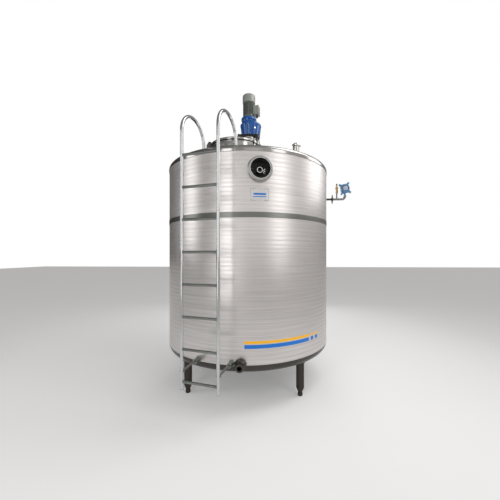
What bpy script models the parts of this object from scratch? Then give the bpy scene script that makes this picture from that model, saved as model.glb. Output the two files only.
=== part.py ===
"""Insulated dairy storage tank on four legs, with a top agitator, manway, ladder and fittings.

Metres, +Z up. The floor is Z = 0 and the front, where the outlet is, faces -Y. Angles round
the tank are measured from the front, positive towards +X. Every piece hangs under an empty
on the tank's axis, which is set off from the origin so that the object's box is centred on it.
"""
from math import cos, pi, radians, sin, tan

import bmesh
import bpy

GAP = 0.0003                      # space left between pieces that touch

# Tank body
TANK_R = 1.000                    # outside of the cladding
WALL_T = 0.080                    # inner vessel, insulation and cladding together
BODY_BASE_Z = 0.468
BODY_TOP_Z = 2.520
COURSE_JOINT_DROP = 0.6095        # below the body's top, where the two courses of cladding meet
BAND_H = 0.053
BAND_T = 0.003
SHELL_SIDES = 64
MANWAY_SIDES = 40

# Roof and bottom
ROOF_LIP = 0.004                  # how far the roof's rim stands over the cladding
ROOF_RIM_H = 0.025
ROOF_KNUCKLE_R = 0.042
ROOF_SLOPE = radians(7)
BOTTOM_KNUCKLE_R = 0.090

# Legs and feet
LEG_ANGLES = {"front_right": 45, "front_left": -45, "back_right": 135, "back_left": -135}
LEG_INSET = 0.126                 # leg's axis inside the cladding
LEG_R = 0.0435
LEG_END_Z = 0.088
LEG_TIP_R = 0.026
LEG_TIP_Z = 0.046
FOOT_R = 0.027
FOOT_STEM_R = 0.012
FOOT_STEM_DEPTH = 0.030

# Manway
MANWAY_ANGLE = -10.1
MANWAY_PLACE_R = 0.527
MANWAY_NECK_R = 0.287
MANWAY_NECK_T = 0.006
MANWAY_NECK_RISE = 0.192          # above the body's top
MANWAY_NECK_DEPTH = 0.040         # below the body's top
GASKET_H = 0.009
GASKET_INSET = 0.008              # from the neck's outside to the gasket's
LID_OVERHANG = 0.005              # lid outside the neck
LID_RIM_H = 0.022
LID_SHEET_T = 0.005
LID_CROWN = 0.010
LID_FLAT_R = 0.208                # flat middle of the lid
LID_SEAT = 0.0005                 # gap that the closed lid keeps over the gasket
LID_EDGE_W = 0.016                # flat edge round the lid, outside its slope

# Lid hinge, on the left of the manway
HINGE_OUT = 0.005                 # axis beyond the lid's edge
HINGE_RISE = 0.031                # axis above the lid's rim
HINGE_PIN_R = 0.008
HINGE_BARREL_R = 0.024
HINGE_BARREL_L = 0.060
HINGE_PLAY = 0.0006
HINGE_SIDE_PLAY = 0.006
HINGE_EAR_T = 0.010
HINGE_WEB_W = 0.036
HINGE_FOOT_DROP = 0.020           # bracket's foot below the top of the neck
HINGE_ARM_L = 0.095
HINGE_ARM_H = 0.020

# Lid clamp, across from the hinge
CLAMP_ANGLE = 52                  # round the manway from its front, towards +X
CLAMP_CLEAR = 0.009               # between the closed lid's edge and the clamp's knob
CLAMP_BOLT_R = 0.007
CLAMP_KNOB_R = 0.014
CLAMP_KNOB_H = 0.030
CLAMP_W = 0.034
CLAMP_T = 0.014
CLAMP_DROP = 0.030                # bracket below the top of the neck
CLAMP_RISE = 0.088                # above the neck
LID_HANDLE_SPAN = 0.160
LID_HANDLE_RISE = 0.055
LID_HANDLE_ROD_R = 0.007
LID_HANDLE_PLACE_X = 0.120

# Agitator drive
PEDESTAL_R = 0.112
PEDESTAL_T = 0.008
PEDESTAL_FLANGE_R = 0.132
PEDESTAL_FLANGE_T = 0.018
PEDESTAL_WINDOW_W = 0.110
PEDESTAL_WINDOW_SILL = 0.075      # above the roof's tip
PEDESTAL_WINDOW_HEAD = 0.045      # below the top flange
SEAL_R = 0.048
SEAL_H = 0.150
COUPLING_R = 0.034
DRIVE_SINK = 0.080                # stand and seal housing before the roof cuts them
DRIVE_PLATE_RISE = 0.528          # above the body's top
DRIVE_PLATE_T = 0.026
DRIVE_PLATE_W = 0.270
GEARBOX_SHIFT = 0.025             # gearbox body off the tank's axis, towards +X
GEARBOX_BASE_R = 0.118
GEARBOX_R = 0.139
GEARBOX_SHOULDER_H = 0.188        # this and the next heights are above the drive plate's underside
GEARBOX_NECK_H = 0.220
GEARBOX_NECK_R = 0.089
GEARBOX_FLANGE_R = 0.100
GEARBOX_FLANGE_T = 0.030
GEARBOX_TOP_H = 0.280
MOTOR_R = 0.078
MOTOR_FOOT_H = 0.030
MOTOR_COWL_RISE = 0.204           # above the gearbox
MOTOR_COWL_R = 0.083
MOTOR_COWL_H = 0.103
TERMINAL_BOX_ANGLE = 80
TERMINAL_BOX = (0.096, 0.072, 0.122)   # along the motor's side, outward, high
TERMINAL_BOX_RISE = 0.095         # its middle above the gearbox

# Side port with its recessed plate
PORT_ANGLE = 11.6
PORT_DROP = 0.175                 # below the body's top
PORT_BASE_W = 0.008               # skirt outside the lip, at the cladding
PORT_LIP_W = 0.0215
PORT_BORE_R = 0.095
PORT_REACH = 0.045
PORT_PLATE_T = 0.012
PORT_NOZZLE_R = 0.029
PORT_NOZZLE_BORE_R = 0.013
PORT_NOZZLE_REACH = 0.060
PORT_NOZZLE_DROP = 0.003

# Outlet at the foot of the front
OUTLET_ANGLE = 1.0
OUTLET_RISE = 0.010               # above the body's base
OUTLET_COLLAR_R = 0.058
OUTLET_COLLAR_REACH = 0.014
OUTLET_DEPTH = 0.020              # how far it stands into the vessel
OUTLET_TROUGH = 0.060             # drain trough in the floor behind it
OUTLET_R = 0.0385
OUTLET_TUBE_R = 0.032
OUTLET_BORE_R = 0.023
OUTLET_REACH = 0.104
OUTLET_LIP_T = 0.010

# Vent nozzle on the roof
VENT_ANGLE = 42
VENT_INSET = 0.150                # inside the cladding
VENT_R = 0.036
VENT_FERRULE_R = 0.0405
VENT_H = 0.106
VENT_FERRULE_T = 0.012
VENT_CLAMP_R = 0.046
VENT_CLAMP_H = 0.022
VENT_WING_L = 0.026
VENT_CAP_H = 0.018
VENT_SINK = 0.030                 # nozzle before the roof cuts it

# Ladder
LADDER_ANGLE = -14.2
LADDER_GAP = 0.275                # rails outside the cladding
LADDER_W = 0.358                  # between rail centres
RAIL_R = 0.015
RUNG_R = 0.0125
LADDER_FOOT_Z = 0.327
RUNG_FIRST_Z = 0.395
RUNG_LAST_DROP = 0.1055           # below the body's top
RUNG_COUNT = 8
HOOP_R = 0.197
HOOP_SPRING_RISE = 0.115          # above the body's top
STRUT_RISE = 0.020                # above the body's base
STRUT_R = 0.011
SOCKET_R = 0.024
SOCKET_REACH = 0.075              # how far a strut's socket stands out from the cladding

# Level gauge on the right side
GAUGE_DROP = 0.270                # below the body's top
GAUGE_PIPE_R = 0.013
GAUGE_NOZZLE_REACH = 0.094
GAUGE_FERRULE_R = 0.025
GAUGE_CLAMP_W = 0.016
GAUGE_CLAMP_R = 0.031
GAUGE_WING_REACH = 0.058
GAUGE_TEE_REACH = 0.153           # outside the cladding
GAUGE_TEE_RISE = 0.083            # this and the next heights are above the gauge's pipe
GAUGE_BEND_R = 0.035
GAUGE_ELBOW_REACH = 0.257         # outside the cladding
GAUGE_PIPE_RISE = 0.044
RELIEF_R = 0.017
RELIEF_H = 0.120
HEAD_R = 0.055
HEAD_W = 0.080
HEAD_RISE = 0.138
HEAD_NECK_R = 0.011
HEAD_LEAN = radians(12)
HEAD_LUG_X = 0.056
HEAD_LUG_Z = 0.060
HEAD_LUG_R = 0.013
HEAD_PLATE_T = 0.022

# Nameplate
PLATE_ANGLE = 11.5
PLATE_DROP = 0.417                # below the body's top
PLATE_W = 0.185
PLATE_H = 0.122
PLATE_T = 0.002

# Sizes that follow from those above
COURSE_JOINT_Z = BODY_TOP_Z - COURSE_JOINT_DROP
LEG_PLACE_R = TANK_R - LEG_INSET
MANWAY_NECK_TOP_Z = BODY_TOP_Z + MANWAY_NECK_RISE
MANWAY_NECK_END_Z = BODY_TOP_Z - MANWAY_NECK_DEPTH
CLAMP_TOP_Z = MANWAY_NECK_TOP_Z + CLAMP_RISE
DRIVE_PLATE_Z = BODY_TOP_Z + DRIVE_PLATE_RISE
GEARBOX_SHOULDER_Z = DRIVE_PLATE_Z + GEARBOX_SHOULDER_H
GEARBOX_NECK_Z = DRIVE_PLATE_Z + GEARBOX_NECK_H
GEARBOX_TOP_Z = DRIVE_PLATE_Z + GEARBOX_TOP_H
MOTOR_COWL_Z = GEARBOX_TOP_Z + MOTOR_COWL_RISE
MOTOR_TOP_Z = MOTOR_COWL_Z + MOTOR_COWL_H
TERMINAL_BOX_Z = GEARBOX_TOP_Z + TERMINAL_BOX_RISE
PORT_Z = BODY_TOP_Z - PORT_DROP
OUTLET_Z = BODY_BASE_Z + OUTLET_RISE
VENT_PLACE_R = TANK_R - VENT_INSET
LADDER_PLACE_R = TANK_R + LADDER_GAP
RUNG_PITCH = (BODY_TOP_Z - RUNG_LAST_DROP - RUNG_FIRST_Z) / (RUNG_COUNT - 1)
HOOP_SPRING_Z = BODY_TOP_Z + HOOP_SPRING_RISE
STRUT_Z = BODY_BASE_Z + STRUT_RISE
GAUGE_Z = BODY_TOP_Z - GAUGE_DROP
GAUGE_TEE_X = TANK_R + GAUGE_TEE_REACH
GAUGE_TEE_TOP_Z = GAUGE_Z + GAUGE_TEE_RISE
GAUGE_ELBOW_X = TANK_R + GAUGE_ELBOW_REACH
GAUGE_PIPE_TOP_Z = GAUGE_Z + GAUGE_PIPE_RISE
HEAD_X = GAUGE_ELBOW_X
HEAD_Z = GAUGE_Z + HEAD_RISE
LID_R = MANWAY_NECK_R + LID_OVERHANG
PORT_LIP_R = PORT_BORE_R + PORT_LIP_W
PORT_BASE_R = PORT_LIP_R + PORT_BASE_W
PLATE_Z = BODY_TOP_Z - PLATE_DROP
INNER_R = TANK_R - WALL_T
ROOF_R = TANK_R + ROOF_LIP
ROOF_TANGENT_R = ROOF_R - ROOF_KNUCKLE_R * (1 - sin(ROOF_SLOPE))
ROOF_TANGENT_Z = BODY_TOP_Z + ROOF_RIM_H + ROOF_KNUCKLE_R * cos(ROOF_SLOPE)
ROOF_TIP_Z = ROOF_TANGENT_Z + ROOF_TANGENT_R * tan(ROOF_SLOPE)
BOTTOM_Z = BODY_BASE_Z - BOTTOM_KNUCKLE_R
GASKET_TOP_Z = MANWAY_NECK_TOP_Z + GAP + GASKET_H
LID_SEAT_Z = GASKET_TOP_Z + LID_SEAT
LID_RIM_Z = LID_SEAT_Z + LID_RIM_H
HINGE_X = -(LID_R + HINGE_OUT)
HINGE_Z = LID_RIM_Z + HINGE_RISE
GEARBOX_Z = DRIVE_PLATE_Z + DRIVE_PLATE_T + GAP
LADDER_REACH = (LADDER_PLACE_R * cos(radians(LADDER_ANGLE))
                + LADDER_W / 2 * sin(radians(abs(LADDER_ANGLE))) + RAIL_R)
RIGHT_REACH = HEAD_X + HEAD_LUG_X * cos(HEAD_LEAN) + HEAD_LUG_Z * sin(HEAD_LEAN) + HEAD_LUG_R
BODY_REACH = TANK_R + max(BAND_T, ROOF_LIP)
AXIS_X = (BODY_REACH - RIGHT_REACH) / 2
AXIS_Y = (LADDER_REACH - BODY_REACH) / 2

STAINLESS = ("stainless", (0.55, 0.53, 0.52), 0.32, 1.0)
DARK_STEEL = ("dark_stainless", (0.16, 0.15, 0.145), 0.35, 1.0)
POLISHED = ("polished_stainless", (0.70, 0.70, 0.70), 0.18, 1.0)
BLACK = ("black_paint", (0.015, 0.015, 0.016), 0.45, 0.0)
BLUE = ("blue_paint", (0.010, 0.050, 0.300), 0.30, 0.0)
GREY_GREEN = ("grey_green_paint", (0.28, 0.32, 0.28), 0.40, 0.0)
PALE_BLUE = ("pale_blue_paint", (0.13, 0.30, 0.47), 0.35, 0.0)
BRASS = ("brass", (0.60, 0.42, 0.18), 0.30, 1.0)
PLATE_SILVER = ("plate_silver", (0.55, 0.60, 0.66), 0.30, 1.0)
PORT_DARK = ("port_dark", (0.03, 0.03, 0.03), 0.35, 0.6)


def clear_scene():
    for item in list(bpy.data.objects):
        bpy.data.objects.remove(item, do_unlink=True)


def new_collection(name):
    group = bpy.data.collections.new(name)
    bpy.context.scene.collection.children.link(group)
    return group


def make_material(finish):
    name, colour, roughness, metallic = finish
    material = bpy.data.materials.get(name)
    if material:
        return material
    material = bpy.data.materials.new(name)
    material.use_nodes = True
    shader = material.node_tree.nodes["Principled BSDF"]
    shader.inputs["Base Color"].default_value = (*colour, 1.0)
    shader.inputs["Roughness"].default_value = roughness
    shader.inputs["Metallic"].default_value = metallic
    return material


def make_empty(name, parent=None, location=(0, 0, 0), turn=(0, 0, 0)):
    empty = bpy.data.objects.new(name, None)
    PARTS.objects.link(empty)
    empty.parent = parent
    empty.location = location
    empty.rotation_euler = turn
    return empty


def add_part(name, mesh, finish, parent, location=(0, 0, 0), turn=(0, 0, 0)):
    """Make a sub-part of the tank from a mesh."""
    part = bpy.data.objects.new(name, mesh)
    PARTS.objects.link(part)
    part.parent = parent
    part.location = location
    part.rotation_euler = turn
    mesh.materials.append(make_material(finish))
    return part


def add_tool(name, mesh, parent, location=(0, 0, 0), turn=(0, 0, 0)):
    """Make a body that only cuts others or is joined to them."""
    tool = bpy.data.objects.new(name, mesh)
    TOOLS.objects.link(tool)
    tool.parent = parent
    tool.location = location
    tool.rotation_euler = turn
    tool.hide_render = True
    tool.display_type = "WIRE"
    return tool


def combine(part, tool, operation="DIFFERENCE"):
    step = part.modifiers.new(operation.lower() + "_" + tool.name, "BOOLEAN")
    step.operation = operation
    step.solver = "EXACT"
    step.object = tool
    return part


def mesh_from(build):
    """Run a bmesh building function and return its mesh."""
    shape = bmesh.new()
    build(shape)
    mesh = bpy.data.meshes.new("shape")
    shape.to_mesh(mesh)
    shape.free()
    return mesh


def rod(radius, length, sides=24, end_radius=None, from_centre=False):
    """A cylinder or cone along +Z that starts at Z = 0, or is centred there."""
    def build(shape):
        bmesh.ops.create_cone(shape, cap_ends=True, segments=sides, radius1=radius,
                              radius2=radius if end_radius is None else end_radius, depth=length)
        if not from_centre:
            bmesh.ops.translate(shape, verts=shape.verts, vec=(0, 0, length / 2))
    return smooth(mesh_from(build))


def block(width, depth, height):
    """A box centred on its own origin."""
    def build(shape):
        bmesh.ops.create_cube(shape, size=1.0)
        bmesh.ops.scale(shape, verts=shape.verts, vec=(width, depth, height))
    return mesh_from(build)


def smooth(mesh, angle=35):
    mesh.shade_smooth()
    mesh.set_sharp_from_angle(angle=radians(angle))
    return mesh


def profile_mesh(points, closed):
    """An outline in the XZ plane, as edges, for a Screw modifier to turn."""
    def build(shape):
        corners = [shape.verts.new((r, 0, z)) for r, z in points]
        for first, second in zip(corners, corners[1:]):
            shape.edges.new((first, second))
        if closed:
            shape.edges.new((corners[-1], corners[0]))
    return mesh_from(build)


def turn_profile(item, sides):
    screw = item.modifiers.new("turn", "SCREW")
    screw.axis = "Z"
    screw.steps = sides
    screw.render_steps = sides
    screw.use_merge_vertices = True
    screw.merge_threshold = 0.0001
    return item


def turned_part(name, points, finish, parent, sides=32, closed=False,
                location=(0, 0, 0), turn=(0, 0, 0)):
    """A turned sub-part. An outline that starts and ends on the axis is left open."""
    mesh = profile_mesh(points, closed)
    return turn_profile(add_part(name, mesh, finish, parent, location, turn), sides)


def turned_tool(name, points, parent, sides=32, location=(0, 0, 0), turn=(0, 0, 0)):
    return turn_profile(add_tool(name, profile_mesh(points, False), parent, location, turn), sides)


def arc(centre_r, centre_z, radius, start, end, steps):
    """Points on a round corner of an outline, with the angles in degrees from +X."""
    angles = [radians(start + (end - start) * step / steps) for step in range(steps + 1)]
    return [(centre_r + radius * cos(a), centre_z + radius * sin(a)) for a in angles]


def bent_tube(name, points, radius, finish, parent):
    """A round tube along a list of points, made a mesh so that it can be cut."""
    curve = bpy.data.curves.new(name, "CURVE")
    curve.dimensions = "3D"
    curve.bevel_depth = radius
    curve.bevel_resolution = 3
    curve.use_fill_caps = True
    spline = curve.splines.new("POLY")
    spline.points.add(len(points) - 1)
    for point, place in zip(spline.points, points):
        point.co = (*place, 1.0)
    guide = bpy.data.objects.new(name + "_line", curve)
    TOOLS.objects.link(guide)
    guide.parent = parent
    bpy.context.view_layer.update()
    mesh = bpy.data.meshes.new_from_object(guide.evaluated_get(bpy.context.evaluated_depsgraph_get()))
    shape = bmesh.new()
    shape.from_mesh(mesh)
    bmesh.ops.remove_doubles(shape, verts=shape.verts, dist=0.00005)
    shape.to_mesh(mesh)
    shape.free()
    tube = add_part(name, smooth(mesh), finish, None)
    tube.matrix_world = guide.matrix_world
    bpy.data.objects.remove(guide, do_unlink=True)
    return tube


def outward(angle_degrees):
    """Turn that points a part's +Z out of the tank, with its +Y up."""
    return (pi / 2, 0, radians(angle_degrees))


def around(angle_degrees, radius, height=0.0):
    """A place at an angle and a radius round the tank's axis."""
    angle = radians(angle_degrees)
    return (radius * sin(angle), -radius * cos(angle), height)


def roof_outline(offset=0.0):
    """Outer line of the roof from its tip to its edge, moved out by an offset."""
    tip = (0, ROOF_TIP_Z + offset / cos(ROOF_SLOPE))
    knuckle = arc(ROOF_R - ROOF_KNUCKLE_R, BODY_TOP_Z + ROOF_RIM_H, ROOF_KNUCKLE_R + offset,
                  90 - ROOF_SLOPE * 180 / pi, 0, 5)
    return [tip] + knuckle


def make_courses(tank):
    """Two courses of insulated wall, each in a front and a back half."""
    courses = {"lower_wall": (BODY_BASE_Z, COURSE_JOINT_Z - GAP), "upper_wall": (COURSE_JOINT_Z, BODY_TOP_Z)}
    halves = {"front": -1, "back": 1}
    walls = {}
    for course, (low, high) in courses.items():
        for side, sign in halves.items():
            name = course + "_" + side
            outline = [(TANK_R, high), (TANK_R, low), (INNER_R, low), (INNER_R, high)]
            wall = turned_part(name, outline, STAINLESS, tank, SHELL_SIDES, closed=True)
            room = add_tool(name + "_half", block(3 * TANK_R, 2 * TANK_R, 2 * BODY_TOP_Z), tank,
                            (0, sign * (TANK_R + GAP / 2), BODY_TOP_Z / 2))
            walls[name] = combine(wall, room, "INTERSECT")
    return walls


def make_band(tank):
    low, high = COURSE_JOINT_Z - BAND_H / 2, COURSE_JOINT_Z + BAND_H / 2
    outside, inside = TANK_R + BAND_T, TANK_R + GAP
    outline = [(outside, high), (outside, low), (inside, low), (inside, high)]
    turned_part("joint_band", outline, DARK_STEEL, tank, SHELL_SIDES, closed=True)


def make_roof(tank):
    under = ROOF_TIP_Z - WALL_T
    outline = roof_outline() + [(ROOF_R, BODY_TOP_Z + GAP), (INNER_R, BODY_TOP_Z + GAP), (0, under)]
    roof = turned_part("roof", outline, DARK_STEEL, tank, SHELL_SIDES)
    hole = add_tool("manway_hole", rod(MANWAY_NECK_R + GAP, 0.5, MANWAY_SIDES), tank,
                    around(MANWAY_ANGLE, MANWAY_PLACE_R, MANWAY_NECK_END_Z - 0.1))
    return combine(roof, hole)


def make_bottom(tank):
    outline = [(0, BODY_BASE_Z - GAP), (TANK_R, BODY_BASE_Z - GAP)]
    outline += arc(TANK_R - BOTTOM_KNUCKLE_R, BODY_BASE_Z, BOTTOM_KNUCKLE_R, -12, -90, 5)
    outline += [(0, BOTTOM_Z)]
    return turned_part("bottom", outline, DARK_STEEL, tank, SHELL_SIDES)


def make_legs(tank):
    """Tube legs with a tapered end, and a round adjustable foot screwed into each."""
    for name, angle in LEG_ANGLES.items():
        place = around(angle, LEG_PLACE_R)
        socket, stem_top = FOOT_STEM_R + GAP, LEG_TIP_Z + FOOT_STEM_DEPTH
        leg = [(0, BOTTOM_Z - GAP), (LEG_R, BOTTOM_Z - GAP), (LEG_R, LEG_END_Z), (LEG_TIP_R, LEG_TIP_Z),
               (socket, LEG_TIP_Z), (socket, stem_top + GAP), (0, stem_top + GAP)]
        turned_part("leg_" + name, leg, DARK_STEEL, tank, 20, location=place)
        top = LEG_TIP_Z - GAP
        foot = [(0, stem_top), (FOOT_STEM_R, stem_top), (FOOT_STEM_R, top), (FOOT_R * 0.85, top),
                (FOOT_R, top * 0.62), (FOOT_R, top * 0.35), (FOOT_R * 0.8, 0), (0, 0)]
        turned_part("foot_" + name, foot, DARK_STEEL, tank, 20, location=place)


def make_manway(tank):
    """Neck with its gasket, the fixed half of the lid's hinge, and the lid's clamp."""
    centre = make_empty("manway_centre", tank, around(MANWAY_ANGLE, MANWAY_PLACE_R))
    inside = MANWAY_NECK_R - MANWAY_NECK_T
    neck = [(MANWAY_NECK_R, MANWAY_NECK_TOP_Z), (MANWAY_NECK_R, MANWAY_NECK_END_Z),
            (inside, MANWAY_NECK_END_Z), (inside, MANWAY_NECK_TOP_Z)]
    turned_part("manway_neck", neck, STAINLESS, centre, MANWAY_SIDES, closed=True)
    low, outer, inner = MANWAY_NECK_TOP_Z + GAP, MANWAY_NECK_R - GASKET_INSET, inside - GASKET_INSET
    gasket = [(outer, GASKET_TOP_Z), (outer, low), (inner, low), (inner, GASKET_TOP_Z)]
    turned_part("manway_gasket", gasket, BLACK, centre, MANWAY_SIDES, closed=True)
    neck_room = add_tool("neck_room", rod(MANWAY_NECK_R + GAP, 1.0, MANWAY_SIDES), centre,
                         (0, 0, MANWAY_NECK_END_Z))
    make_hinge_bracket(centre, neck_room)
    make_clamp(centre, neck_room)
    return centre


def make_hinge_bracket(centre, neck_room):
    """Two ears on a foot plate beside the neck, and the pin that they hold."""
    ear_y = HINGE_BARREL_L / 2 + HINGE_SIDE_PLAY + HINGE_EAR_T / 2
    width = 2 * ear_y + HINGE_EAR_T
    web_x = HINGE_X - HINGE_WEB_W / 2
    foot_z = MANWAY_NECK_TOP_Z - HINGE_FOOT_DROP
    foot_start, foot_end = 0.9 * HINGE_X, HINGE_X - HINGE_WEB_W
    bracket = add_part("hinge_bracket", block(foot_start - foot_end, width, HINGE_EAR_T), DARK_STEEL, centre,
                       ((foot_start + foot_end) / 2, 0, foot_z))
    height = HINGE_Z - foot_z
    for side, sign in (("front", -1), ("back", 1)):
        web = add_tool("ear_web_" + side, block(HINGE_WEB_W, HINGE_EAR_T, height), centre,
                       (web_x, sign * ear_y, HINGE_Z - height / 2))
        eye = add_tool("ear_eye_" + side, rod(HINGE_BARREL_R, HINGE_EAR_T, 20, from_centre=True), centre,
                       (HINGE_X, sign * ear_y, HINGE_Z), (pi / 2, 0, 0))
        combine(bracket, web, "UNION")
        combine(bracket, eye, "UNION")
    bore = add_tool("ear_bore", rod(HINGE_PIN_R + GAP, 2 * width, 16, from_centre=True), centre,
                    (HINGE_X, 0, HINGE_Z), (pi / 2, 0, 0))
    combine(bracket, bore)
    combine(bracket, neck_room)
    add_part("hinge_pin", rod(HINGE_PIN_R, width + HINGE_PIN_R, 16, from_centre=True), POLISHED, centre,
             (HINGE_X, 0, HINGE_Z), (pi / 2, 0, 0))


def make_clamp(centre, neck_room):
    """Bracket on the neck, with a bolt and knob beside the lid's edge."""
    turned = make_empty("clamp_centre", centre, turn=(0, 0, radians(CLAMP_ANGLE) - pi / 2))
    bolt_x = LID_R + CLAMP_CLEAR + CLAMP_KNOB_R
    start, reach = 0.9 * MANWAY_NECK_R, bolt_x + CLAMP_W / 2
    bracket_z = MANWAY_NECK_TOP_Z - CLAMP_DROP
    clamp = add_part("lid_clamp", block(reach - start, CLAMP_W, CLAMP_T), DARK_STEEL, turned,
                     ((reach + start) / 2, 0, bracket_z))
    knob_z = CLAMP_TOP_Z - CLAMP_KNOB_H
    bolt = add_tool("clamp_bolt", rod(CLAMP_BOLT_R, knob_z + CLAMP_KNOB_H / 2 - bracket_z, 16), turned,
                    (bolt_x, 0, bracket_z))
    knob = add_tool("clamp_knob", rod(CLAMP_KNOB_R, CLAMP_KNOB_H, 20), turned, (bolt_x, 0, knob_z))
    combine(clamp, bolt, "UNION")
    combine(clamp, knob, "UNION")
    combine(clamp, neck_room)


def make_lid(centre):
    """Pressed lid with its hinge arm and handle, on an empty at the hinge's axis."""
    hinge = make_empty("lid_hinge", centre, (HINGE_X, 0, HINGE_Z))
    seat, top = LID_SEAT_Z - HINGE_Z, LID_RIM_Z - HINGE_Z
    inner, under = LID_R - LID_SHEET_T, top - LID_SHEET_T
    upper = [(0, top + LID_CROWN), (LID_FLAT_R, top + LID_CROWN), (LID_R - LID_EDGE_W, top), (LID_R, top)]
    lower = [(LID_R, seat), (inner, seat), (inner, under), (LID_FLAT_R, under + LID_CROWN),
             (0, under + LID_CROWN)]
    turned_part("manway_lid", upper + lower, STAINLESS, hinge, MANWAY_SIDES, location=(-HINGE_X, 0, 0))
    beyond = 1.5 * LID_R
    room = [(r, z + GAP) for r, z in upper[:3]] + [(beyond, top + GAP), (beyond, seat), (0, seat)]
    lid_room = turned_tool("lid_room", room, hinge, MANWAY_SIDES, location=(-HINGE_X, 0, 0))
    make_hinge_arm(hinge, lid_room)
    make_handle(hinge, top)


def make_hinge_arm(hinge, lid_room):
    """Flat arm on the lid's top, with the barrel that turns on the hinge's pin."""
    arm_low = LID_RIM_Z - HINGE_Z - HINGE_ARM_H / 2
    arm = add_part("lid_hinge_arm", block(HINGE_ARM_L, HINGE_BARREL_L, 1.5 * HINGE_ARM_H), DARK_STEEL, hinge,
                   (HINGE_ARM_L / 2, 0, arm_low + 0.75 * HINGE_ARM_H))
    barrel = add_tool("arm_barrel", rod(HINGE_BARREL_R, HINGE_BARREL_L, 20, from_centre=True), hinge,
                      (0, 0, 0), (pi / 2, 0, 0))
    hole = rod(HINGE_PIN_R + HINGE_PLAY, 2 * HINGE_BARREL_L, 16, from_centre=True)
    bore = add_tool("arm_bore", hole, hinge, (0, 0, 0), (pi / 2, 0, 0))
    combine(arm, barrel, "UNION")
    combine(arm, bore)
    combine(arm, lid_room)


def make_handle(hinge, lid_top):
    """Bent rod handle that stands on the lid, on the side away from the hinge."""
    half = LID_HANDLE_SPAN / 2
    bend = 0.02
    x = -HINGE_X + LID_HANDLE_PLACE_X
    foot = lid_top + LID_CROWN + GAP
    peak = foot + LID_HANDLE_RISE
    rise = [(-half, z) for z in (foot, peak - bend)]
    left = [(-half + bend - bend * cos(a), peak - bend + bend * sin(a))
            for a in [radians(15 * step) for step in range(1, 6)]]
    side = rise + left + [(-half + bend, peak)]
    line = side + [(-y, z) for y, z in reversed(side)]
    bent_tube("lid_handle", [(x, y, z) for y, z in line], LID_HANDLE_ROD_R, POLISHED, hinge)


def make_agitator(tank, roof_cutter):
    """Drive stand, seal housing, plate, gearbox and motor, from the roof's tip up."""
    top = DRIVE_PLATE_Z - GAP
    flange_low = top - PEDESTAL_FLANGE_T
    inside = PEDESTAL_R - PEDESTAL_T
    base_top = ROOF_TIP_Z + PEDESTAL_FLANGE_T
    below = ROOF_TIP_Z - DRIVE_SINK
    outline = [(PEDESTAL_FLANGE_R, top), (PEDESTAL_FLANGE_R, flange_low), (PEDESTAL_R, flange_low),
               (PEDESTAL_R, base_top), (PEDESTAL_FLANGE_R, base_top), (PEDESTAL_FLANGE_R, below),
               (inside, below), (inside, top)]
    stand = turned_part("drive_stand", outline, STAINLESS, tank, 32, closed=True)
    combine(stand, roof_cutter)
    sill = ROOF_TIP_Z + PEDESTAL_WINDOW_SILL
    head = flange_low - PEDESTAL_WINDOW_HEAD
    for index, angle in enumerate((0, 90)):
        window = add_tool("stand_window_%d" % index,
                          block(PEDESTAL_WINDOW_W, 3 * PEDESTAL_R, head - sill), tank,
                          (0, 0, (head + sill) / 2), (0, 0, radians(angle)))
        combine(stand, window)
    seal = [(0, top), (COUPLING_R, top), (COUPLING_R, ROOF_TIP_Z + SEAL_H),
            (SEAL_R, ROOF_TIP_Z + SEAL_H), (SEAL_R, below), (0, below)]
    combine(turned_part("seal_housing", seal, POLISHED, tank, 24), roof_cutter)
    add_part("drive_plate", block(DRIVE_PLATE_W, DRIVE_PLATE_W, DRIVE_PLATE_T), BLACK, tank,
             (0, 0, DRIVE_PLATE_Z + DRIVE_PLATE_T / 2))
    make_gearbox(tank)
    make_motor(tank)


def make_gearbox(tank):
    """Tapered body, set off to the right, under a neck and a flange that carry the motor."""
    chamfer = 0.020
    outline = [(0, GEARBOX_NECK_Z), (GEARBOX_NECK_R + chamfer / 2, GEARBOX_NECK_Z),
               (GEARBOX_R, GEARBOX_SHOULDER_Z), (GEARBOX_R, GEARBOX_SHOULDER_Z - chamfer),
               (GEARBOX_BASE_R, GEARBOX_Z + chamfer), (GEARBOX_BASE_R, GEARBOX_Z), (0, GEARBOX_Z)]
    gearbox = turned_part("gearbox", outline, BLUE, tank, 32, location=(GEARBOX_SHIFT, 0, 0))
    flange_low = GEARBOX_TOP_Z - GEARBOX_FLANGE_T
    neck_end = GEARBOX_SHOULDER_Z - 2 * chamfer
    neck = [(0, GEARBOX_TOP_Z), (GEARBOX_FLANGE_R, GEARBOX_TOP_Z), (GEARBOX_FLANGE_R, flange_low),
            (GEARBOX_NECK_R, flange_low - chamfer / 2), (GEARBOX_NECK_R, neck_end), (0, neck_end)]
    combine(gearbox, turned_tool("gearbox_neck", neck, tank, 32), "UNION")


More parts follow.
